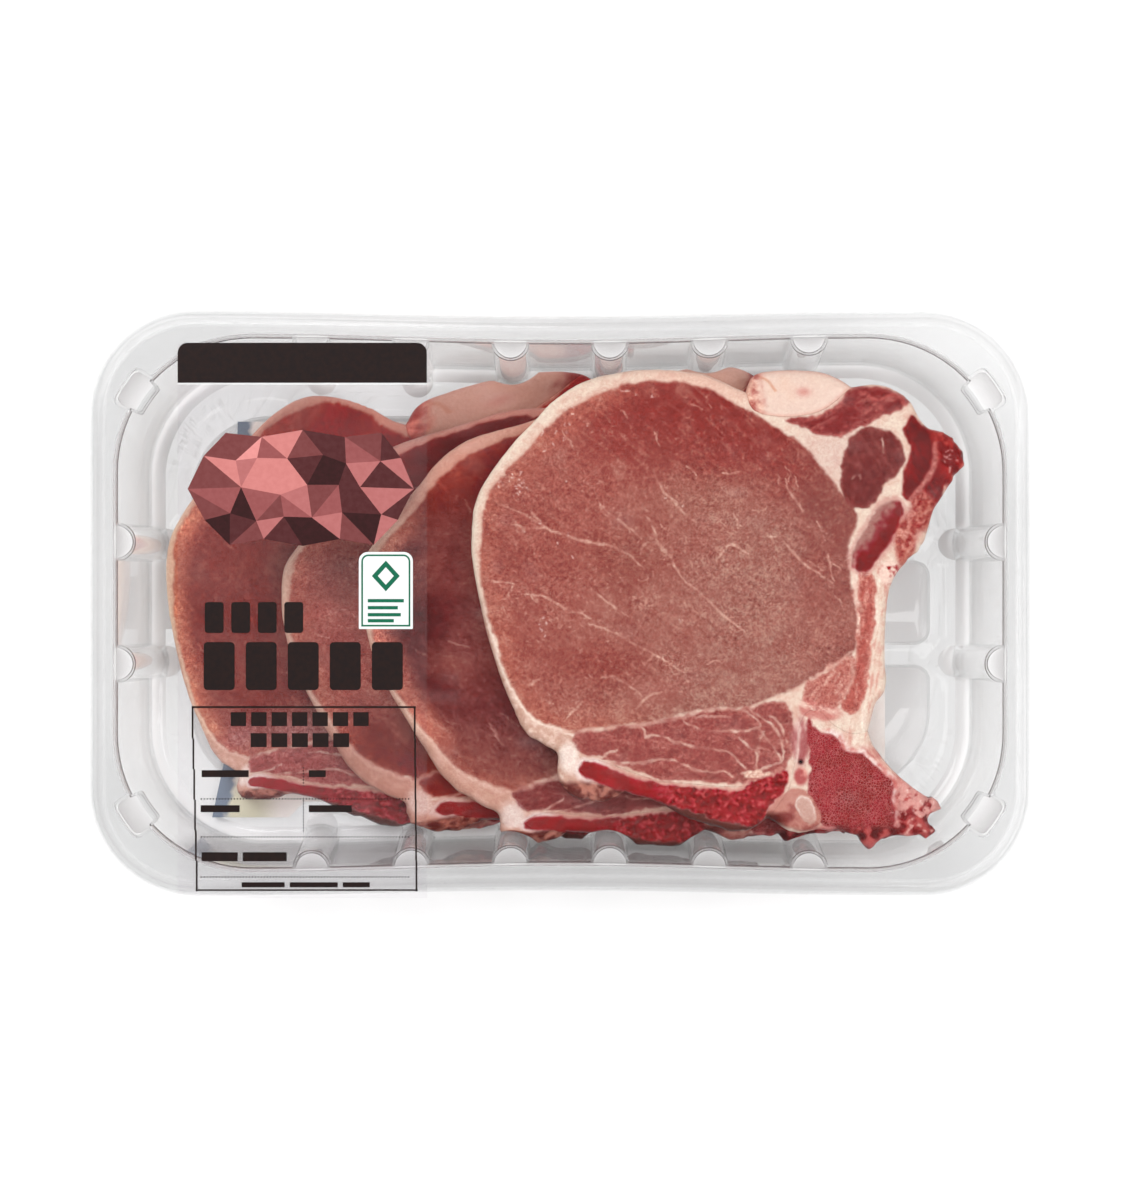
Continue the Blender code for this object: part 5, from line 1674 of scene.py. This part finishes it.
def paint_joint(face):
    """Joint with its glassy oval, a pink knob and a small dark vessel."""
    for loop, tone, dim, pale_edge in ((JOINT, PINK_JOINT, PINK_JOINT_DIM, 0.0),
                                       (JOINT_OVAL, WHITE_JOINT, WHITE_JOINT_DIM, 0.75)):
        depth = depth_in(wandering(face.q, 1.7, 0.3, face.seed + 52), closed_curve(loop, 0.8))
        share = smooth(-0.25, 0.35, depth)
        edge = np.exp(-((depth - 0.25) / 0.32) ** 2)
        face.tint(layered(tone, [
            (dim, 0.75 * smooth(-0.1, 0.6, face.rough(1.9, 15) - 0.1 * (face.y + 61.5))),
            (JOINT_EDGE, pale_edge * edge * smooth(-64.5, -61.0, face.y)),
        ]), share)
        face.pore = face.pore * (1.0 - share)
        face.lift += 0.22 * share - 0.2 * (1.0 - smooth(0.0, 0.5, np.abs(depth)))
    face.tint(JOINT_FOOT, 0.8 * smooth(0.3, 0.8, face.spot((25.4, -63.0), (3.2, 1.7))))
    knob = mix(KNOB_PINK, KNOB_RED, smooth(-0.3, 0.4, face.rough(1.9, 13)))
    face.tint(knob, 0.9 * smooth(0.3, 0.7, face.spot((29.6, -53.0), (2.0, 2.6))))
    hole = face.spot((29.6, -49.5), (0.5, 0.5))
    face.tint(VESSEL, np.clip(1.4 * hole, 0.0, 1.0))
    face.lift -= 0.6 * hole


def paint_rib(face):
    """Rib bone: smooth red marrow at its tip, crumbly towards the chine, pale skin along its upper side."""
    x, y = face.x, face.y
    crumb = smooth(-10.0, -1.0, x)
    depth = face.depth(RIB_RED_PART, 0.8) + 0.25 + 0.4 * face.rough(1.4, 36) * crumb
    in_rib = smooth(-0.3, 0.35, depth)
    outside = 1.0 - in_rib
    bits = face.rough(0.75, 17)
    clumped = bits + 0.3 * face.rough(2.4, 39)
    halo = smooth(-1.15 - 0.7 * smooth(-14.0, -20.0, x), -0.3, depth) * outside * smooth(27.0, 22.0, x)
    upper = smooth(-0.2, 0.6, y + 55.2 + 0.16 * np.maximum(x + 14.0, 0.0))
    face.tint(RIB_SKIN, 0.8 * halo * upper)
    face.tint(RIB_SKIN_WHITE, 0.9 * halo * smooth(-15.0, -21.0, x))
    face.tint(layered(RIB_RED, [
        (RIB_DEEP, 0.7 * smooth(-0.3, 0.7, face.rough(2.2, 16))),
        (RIB_EDGE, 0.2 * smooth(0.6, 0.1, depth) * (1.0 - crumb)),
        (RIB_CRUMB, 0.7 * smooth(0.1, 0.6, clumped) * np.maximum(crumb, 0.12)),
        (RIB_DARK, 0.6 * smooth(0.1, 0.6, -clumped) * crumb),
    ]), in_rib)
    face.retune(in_rib, 0.4)
    face.lift += in_rib * (0.1 + crumb * 0.7 * bits)
    crest = face.spot((18.4, -52.4), (4.4, 1.1))
    face.tint(RIB_CREST, 0.85 * smooth(0.3, 0.7, crest + 0.3 * face.rough(1.2, 65)))
    face.tint(RIB_KNOT, 0.85 * smooth(0.25, 0.8, face.spot((-27.3, -48.4), (3.0, 4.6))) * outside)
    fringe = smooth(-53.4, -55.6, y) * smooth(-8.0, -14.0, x) * outside
    torn = face.rough(1.6, 19)
    face.tint(mix(FRINGE_PALE, FRINGE_DARK, smooth(-0.4, 0.4, torn)), 0.9 * fringe)
    face.lift += 0.9 * fringe * torn
    along = smooth(-13.6, -10.0, x) * smooth(27.0, 23.0, x)
    face.tint(RIB_SHADE, 0.85 * outside * smooth(-54.5, -56.5, y + 0.18 * (x + 14.0)) * along)


# What is painted over the muscles, in order
REGIONS = [paint_strands, paint_marrow, paint_raw_side, paint_chine, paint_ragged_end, paint_joint, paint_rib]


def chop_paint(q, number):
    """Colours and marks of a cut face at points of the chop's own frame."""
    face = Face(q, number)
    rim, _ = near_line(q, curve_points(CURVES["back"], 1.5))
    eye, lean = paint_eye(face)
    paint_fat(face, rim, eye)
    share = smooth(-0.45, 0.6, eye)
    face.tint(lean, share)
    face.fibre = np.maximum(0.28, share * np.clip(0.85 + 0.5 * face.rough(7.0, 25), 0.4, 1.3))
    face.lift += 0.2 * smooth(-0.2, 2.2, eye) - 0.05 * (1.0 - smooth(0.0, 0.7, np.abs(eye)))
    paint_muscles(face)
    paint_veins(face, eye)
    for paint in REGIONS:
        paint(face)
    # Painted wet highlights on the top chop
    if number == TOP_CHOP:
        wet = np.zeros(len(q))
        for index, (count, centre, spread, radius) in enumerate(PAINTED_GLINTS):
            wet = np.maximum(wet, specks(q, index + 1, count, centre, spread, radius))
        face.tint(GLINT, 0.5 * wet)
    return np.clip(face.colour, 0.0, 1.0), face.fibre, face.pore, face.lift


def cartilage_paint(q, number):
    """Colours and relief of the cartilage: cream, glassy, with a pink middle and crumbs at its left end."""
    x, y = q.T
    loop = np.vstack([curve_points(CURVES["cartilage_edge"], 1.0)[:-1],
                      curve_points(CURVES["cartilage_seam"], 1.0)[::-1][:-1]])
    depth = depth_in(q, loop)
    crease, _ = near_line(wandering(q, 2.0, 0.5, 932), curve_points(CREASE, 1.0))
    colour = layered(CARTILAGE, [
        (CARTILAGE_WARM, 0.4 * smooth(0.0, 0.8, fractal(x, y, 6.0, 900 + number))),
        (CARTILAGE_PINK, 0.85 * spot(x, y, (30.2, 41.2), (1.7, 1.1))),
        (CARTILAGE_EDGE, 0.55 * (1.0 - smooth(0.2, 1.1, depth))),
        (CARTILAGE_CREASE, 0.7 * smooth(0.5, 0.1, crease)),
    ])
    if number < TOP_CHOP:
        raw = smooth(38.0, 42.0, x + 2.0 * fractal(x, y, 2.5, 951 + number))
        colour = layered(colour, [(CARTILAGE_LOWER, 0.5), (CARTILAGE_RAW, 0.85 * raw)])
    left = smooth(21.5, 17.5, x + 1.2 * fractal(x, y, 2.0, 931 + number))
    clump = smooth(-0.4, 0.5, fractal(x, y, 1.8, 930 + number))
    colour = mix(colour, mix(CRUMB_PALE, CRUMB_RED, clump), 0.9 * left)
    lift = 0.55 * smooth(0.0, 3.5, depth) - 0.1 + 0.4 * left * fractal(x, y, 1.8, 940 + number)
    lift -= 0.2 * smooth(0.5, 0.0, crease)
    return colour, np.full(len(q), 0.15) + 0.4 * left, np.zeros(len(q)), lift


def tone_of(q, number, fibre):
    """How much darker the lean of the lower chops is, from the rim inwards and from low to top: partly their
    own colour, partly painted shade from the chop above.
    """
    if number not in TONES:
        return 1.0
    near_rim, low, middle, high = TONES[number]
    y = q[:, 1]
    tone = layered(low, [(middle, smooth(-37.0, -24.0, y)), (high, smooth(14.0, 36.0, y))])
    within = smooth(0.0, 7.0, depth_in(q, closed_curve(EYE, 1.2)))
    within += smooth(18.0, 30.0, y) + 0.8 * smooth(-32.0, -38.0, y)
    tone = mix(near_rim, tone, np.clip(within, 0.0, 1.0))
    return 1.0 + (tone - 1.0) * fibre[:, None]


# Least and greatest relief of a cut face
LIFT_BOUNDS = (-0.9, 0.5)

# Points of an outline that are closer than this are merged
CLOSEST = 0.12


def chop_loops(number):
    """Dense outlines of a chop's solids and of the whole chop, in its own frame."""
    step = 0.5 if number == TOP_CHOP else 0.7
    curves = {name: rag(curve_points(corners, step), 7 * number) for name, corners in CURVES.items()}

    def join(*names):
        parts = [curves[name[1:]][::-1] if name[0] == "-" else curves[name] for name in names]
        outline = np.vstack([part[:-1] for part in parts])[::-1]
        kept = [outline[0]]
        for point in outline[1:]:
            if np.linalg.norm(point - kept[-1]) > CLOSEST:
                kept.append(point)
        if np.linalg.norm(kept[0] - kept[-1]) < CLOSEST:
            kept.pop()
        return np.array(kept)

    loops = {
        "meat": join("back", "cartilage_seam", "chine_side", "chine_seam", "rib_seam"),
        "rib_bone": join("-rib_seam", "rib_chine", "rib_edge"),
        "chine_bone": join("-chine_seam", "chine_edge", "-rib_chine"),
        "cartilage": join("cartilage_edge", "-cartilage_seam"),
    }
    whole = join("back", "cartilage_edge", "chine_side", "chine_edge", "rib_edge")
    return loops, whole


class Stack:
    """Where each chop lies: its bend in plan, its floor and its crown."""

    def __init__(self):
        self.base = WALL + PANEL_RISE + PAD_THICKNESS + 2.0 * GAP
        self.pitch = CHOP_THICKNESS + CROWN + GAP
        self.ends = []
        self.plans = {}

    def place(self, number, q):
        """Points of a chop's own frame, put where they lie in the tray."""
        if number in LOWER_CHOPS:
            points = thin_plate(LANDMARKS, LOWER_CHOPS[number])(q)
        else:
            points = q + np.array(TOP_CHOP_CENTRE)
        level = WALL + PANEL_RISE + PAD_THICKNESS + (number - 0.5) * CHOP_THICKNESS
        return keep_inside_wall(points, level)

    def settle(self, number, whole):
        """Note a chop's reach before the next one is laid on it."""
        plan = self.place(number, whole)
        self.plans[number] = (plan, plan[:, 0].min(), plan[:, 0].max(), list(self.ends))
        self.ends.append(plan[:, 0].max())

    def floor(self, number, x):
        """Height of a chop's underside."""
        drop = np.zeros(len(x))
        for end in self.plans[number][3]:
            drop += smooth(end, end + DROOP_LENGTH, x)
        return self.base + self.pitch * (number - 1 - DROOP * drop)

    def crown(self, number, x, y):
        """Slight rise of a chop's top."""
        _, left, right, _ = self.plans[number]
        along = np.clip((x - left) / (right - left), 0.0, 1.0)
        return CROWN * np.sin(math.pi * along) * np.cos(math.pi / 2.0 * y / CROWN_HALF_WIDTH) ** 2


def top_grid(stack, number, loop, cover):
    """Fine grid of a cut face; only a few of its points are kept where the next chop covers them."""
    fine = 0.34 if number == TOP_CHOP else 0.42
    grid = hex_grid(loop.min(axis=0), loop.max(axis=0), fine)
    grid = grid[inside(grid, loop)]
    if cover is not None:
        hidden = depth_in(stack.place(number, grid), cover) > 2.5
        coarse = np.arange(len(grid)) % 13 == 0
        grid = grid[~hidden | coarse]
    return grid[near_line(grid, np.vstack([loop, loop[:1]]))[0] > 0.45 * fine]


def build_slab(stack, number, kind, loop, whole, mat, cover):
    """One solid of a chop, with a finely painted top where it shows."""
    grid = top_grid(stack, number, loop, cover)
    top = np.vstack([loop, grid])
    edge, _ = near_line(top, np.vstack([whole, whole[:1]]))
    paint = cartilage_paint if kind == "cartilage" else chop_paint
    colour, fibre, pore, lift = paint(top, number)
    place = stack.place(number, top)
    x, y = place.T
    floor = stack.floor(number, x)
    inner = np.clip(edge / RIM_ROUND, 0.0, 1.0)
    drop = RIM_ROUND * (1.0 - np.sqrt(np.maximum(1.0 - (1.0 - inner) ** 2, 0.0)))
    z = floor + CHOP_THICKNESS + stack.crown(number, x, y) - drop
    z += np.clip(lift, *LIFT_BOUNDS) * smooth(0.0, 0.8, edge + 0.3)
    count = len(loop)

    # Side rings below the top's own edge, then the underside
    base = softened(loop, FOOT_SOFTENING)
    foot = stack.place(number, base)
    rim = place[:count]
    low = floor[:count]
    rings = [np.column_stack([rim, low + (z[:count] - low) * share]) for share in (0.68, 0.4)]
    rings.append(np.column_stack([rim, low + 0.9]))
    rings.append(np.column_stack([0.7 * rim + 0.3 * foot, low + 0.25]))
    under = hex_grid(loop.min(axis=0), loop.max(axis=0), 2.5)
    under = under[depth_in(under, base) > 1.0]
    bottom = np.vstack([foot, stack.place(number, under)])
    bottom = np.column_stack([bottom, stack.floor(number, bottom[:, 0])])
    points = np.vstack([np.column_stack([place, z])] + rings + [bottom])
    starts = [0] + [len(top) + i * count for i in range(len(rings) + 1)]
    faces = [triangulate([loop], grid), (triangulate([base], under) + starts[-1])[:, ::-1]]
    faces += [bridge(start, end, count)[:, ::-1] for start, end in zip(starts, starts[1:])]

    base_colour, base_fibre, base_pore, _ = paint(np.vstack([base, under]), number)
    # Sides of a chop in painted shade: dark red on the lean, a little darker on the fat
    fatty = smooth(5.0, 1.0, near_line(loop, curve_points(CURVES["back"], 1.5))[0])
    shaded_side_colour = mix(mix(colour[:count], SHADED_SIDE_LEAN, 0.75), mix(colour[:count], SHADED_SIDE_FAT, 0.3), fatty)
    colours = np.vstack([colour * tone_of(top, number, fibre)] + [shaded_side_colour] * len(rings) + [base_colour])
    fibres = np.concatenate([fibre] + [0.3 * fibre[:count]] * len(rings) + [base_fibre])
    pores = np.concatenate([pore] + [pore[:count]] * len(rings) + [base_pore])
    name = "chop_%d_%s" % (number, kind)
    add_piece(name + "_cut", points, faces, mat, [name],
              paint=under_film(colours), marks={"fibre": fibres, "pore": pores})


def build_chops():
    """Four chops, each lying on the one before and reaching further right."""
    mats = {
        "meat": meat_material("raw_pork", 0.42, 0.12),
        "rib_bone": meat_material("rib_bone", 0.36, 0.25),
        "chine_bone": meat_material("chine_bone", 0.42, 0.15, True),
        "cartilage": meat_material("cartilage", 0.36, 0.25),
    }
    stack = Stack()
    shapes = {number: chop_loops(number) for number in range(1, TOP_CHOP + 1)}
    for number, (_, whole) in shapes.items():
        stack.settle(number, whole)
    for number, (loops, whole) in shapes.items():
        cover = stack.plans[number + 1][0] if number < TOP_CHOP else None
        for kind, loop in loops.items():
            build_slab(stack, number, kind, loop, whole, mats[kind], cover)


# Stage, light and camera

# Half width of the floor and the camera's height over the film, in metres; pixels across the view
FLOOR_REACH = 3.0
CAMERA_HEIGHT = 1.0
VIEW_WIDTH = 1140


def build_stage():
    """White floor, soft studio light and the camera straight above."""
    mesh = bpy.data.meshes.new("floor")
    corners = [(-FLOOR_REACH, -FLOOR_REACH, 0), (FLOOR_REACH, -FLOOR_REACH, 0), (FLOOR_REACH, FLOOR_REACH, 0),
               (-FLOOR_REACH, FLOOR_REACH, 0)]
    mesh.from_pydata(corners, [], [(0, 1, 2, 3)])
    g = Graph("studio_floor")
    whites = [rgba((value, value, value)) for value in (0.975, 0.985)]
    g.set(Base_Color=g.blend(g.noise(400.0), *whites), Roughness=0.9, Specular_IOR_Level=0.1)
    mesh.materials.append(g.mat)
    floor = bpy.data.objects.new("floor", mesh)
    bpy.context.scene.collection.objects.link(floor)

    world = bpy.data.worlds.new("studio")
    world.use_nodes = True
    bpy.context.scene.world = world
    nodes = world.node_tree.nodes
    links = world.node_tree.links
    place = nodes.new("ShaderNodeTexCoord")
    split = nodes.new("ShaderNodeSeparateXYZ")
    links.new(place.outputs["Generated"], split.inputs[0])
    level = nodes.new("ShaderNodeMapRange")
    level.interpolation_type = "SMOOTHSTEP"
    links.new(split.outputs["Z"], level.inputs["Value"])
    for key, number in (("From Min", 0.55), ("From Max", 0.95), ("To Min", 1.0), ("To Max", 0.6)):
        level.inputs[key].default_value = number
    back = nodes["Background"]
    links.new(level.outputs["Result"], back.inputs["Color"])
    back.inputs["Strength"].default_value = 0.87

    def softbox(name, place_at, size, energy):
        light = bpy.data.lights.new(name, "AREA")
        light.shape = "RECTANGLE"
        light.size, light.size_y = size
        light.energy = energy
        lamp = bpy.data.objects.new(name, light)
        lamp.location = place_at
        aim = math.atan2(math.hypot(place_at[0], place_at[1]), place_at[2])
        lamp.rotation_euler = (0.0, aim, math.atan2(place_at[1], place_at[0]))
        bpy.context.scene.collection.objects.link(lamp)

    softbox("key", (-0.45, 0.55, 1.1), (0.8, 0.65), 9.3)
    softbox("fill", (0.6, -0.25, 1.05), (0.8, 0.65), 8.0)

    data = bpy.data.cameras.new("camera")
    data.sensor_fit = "HORIZONTAL"
    data.angle = 2.0 * math.atan(VIEW_WIDTH * PIXEL / 2.0 / 1000.0)
    data.clip_start = 0.01
    camera = bpy.data.objects.new("camera", data)
    camera.location = (CAMERA_AXIS[0] * METRES, CAMERA_AXIS[1] * METRES, CAMERA_HEIGHT + TOP * METRES)
    bpy.context.scene.collection.objects.link(camera)
    bpy.context.scene.camera = camera
    scene = bpy.context.scene
    scene.view_settings.view_transform = "Standard"
    scene.cycles.max_bounces = 5
    scene.cycles.diffuse_bounces = 3
    scene.cycles.glossy_bounces = 2
    scene.cycles.transparent_max_bounces = 32


build_tray()
build_film()
build_label()
build_pad()
build_chops()
build_stage()
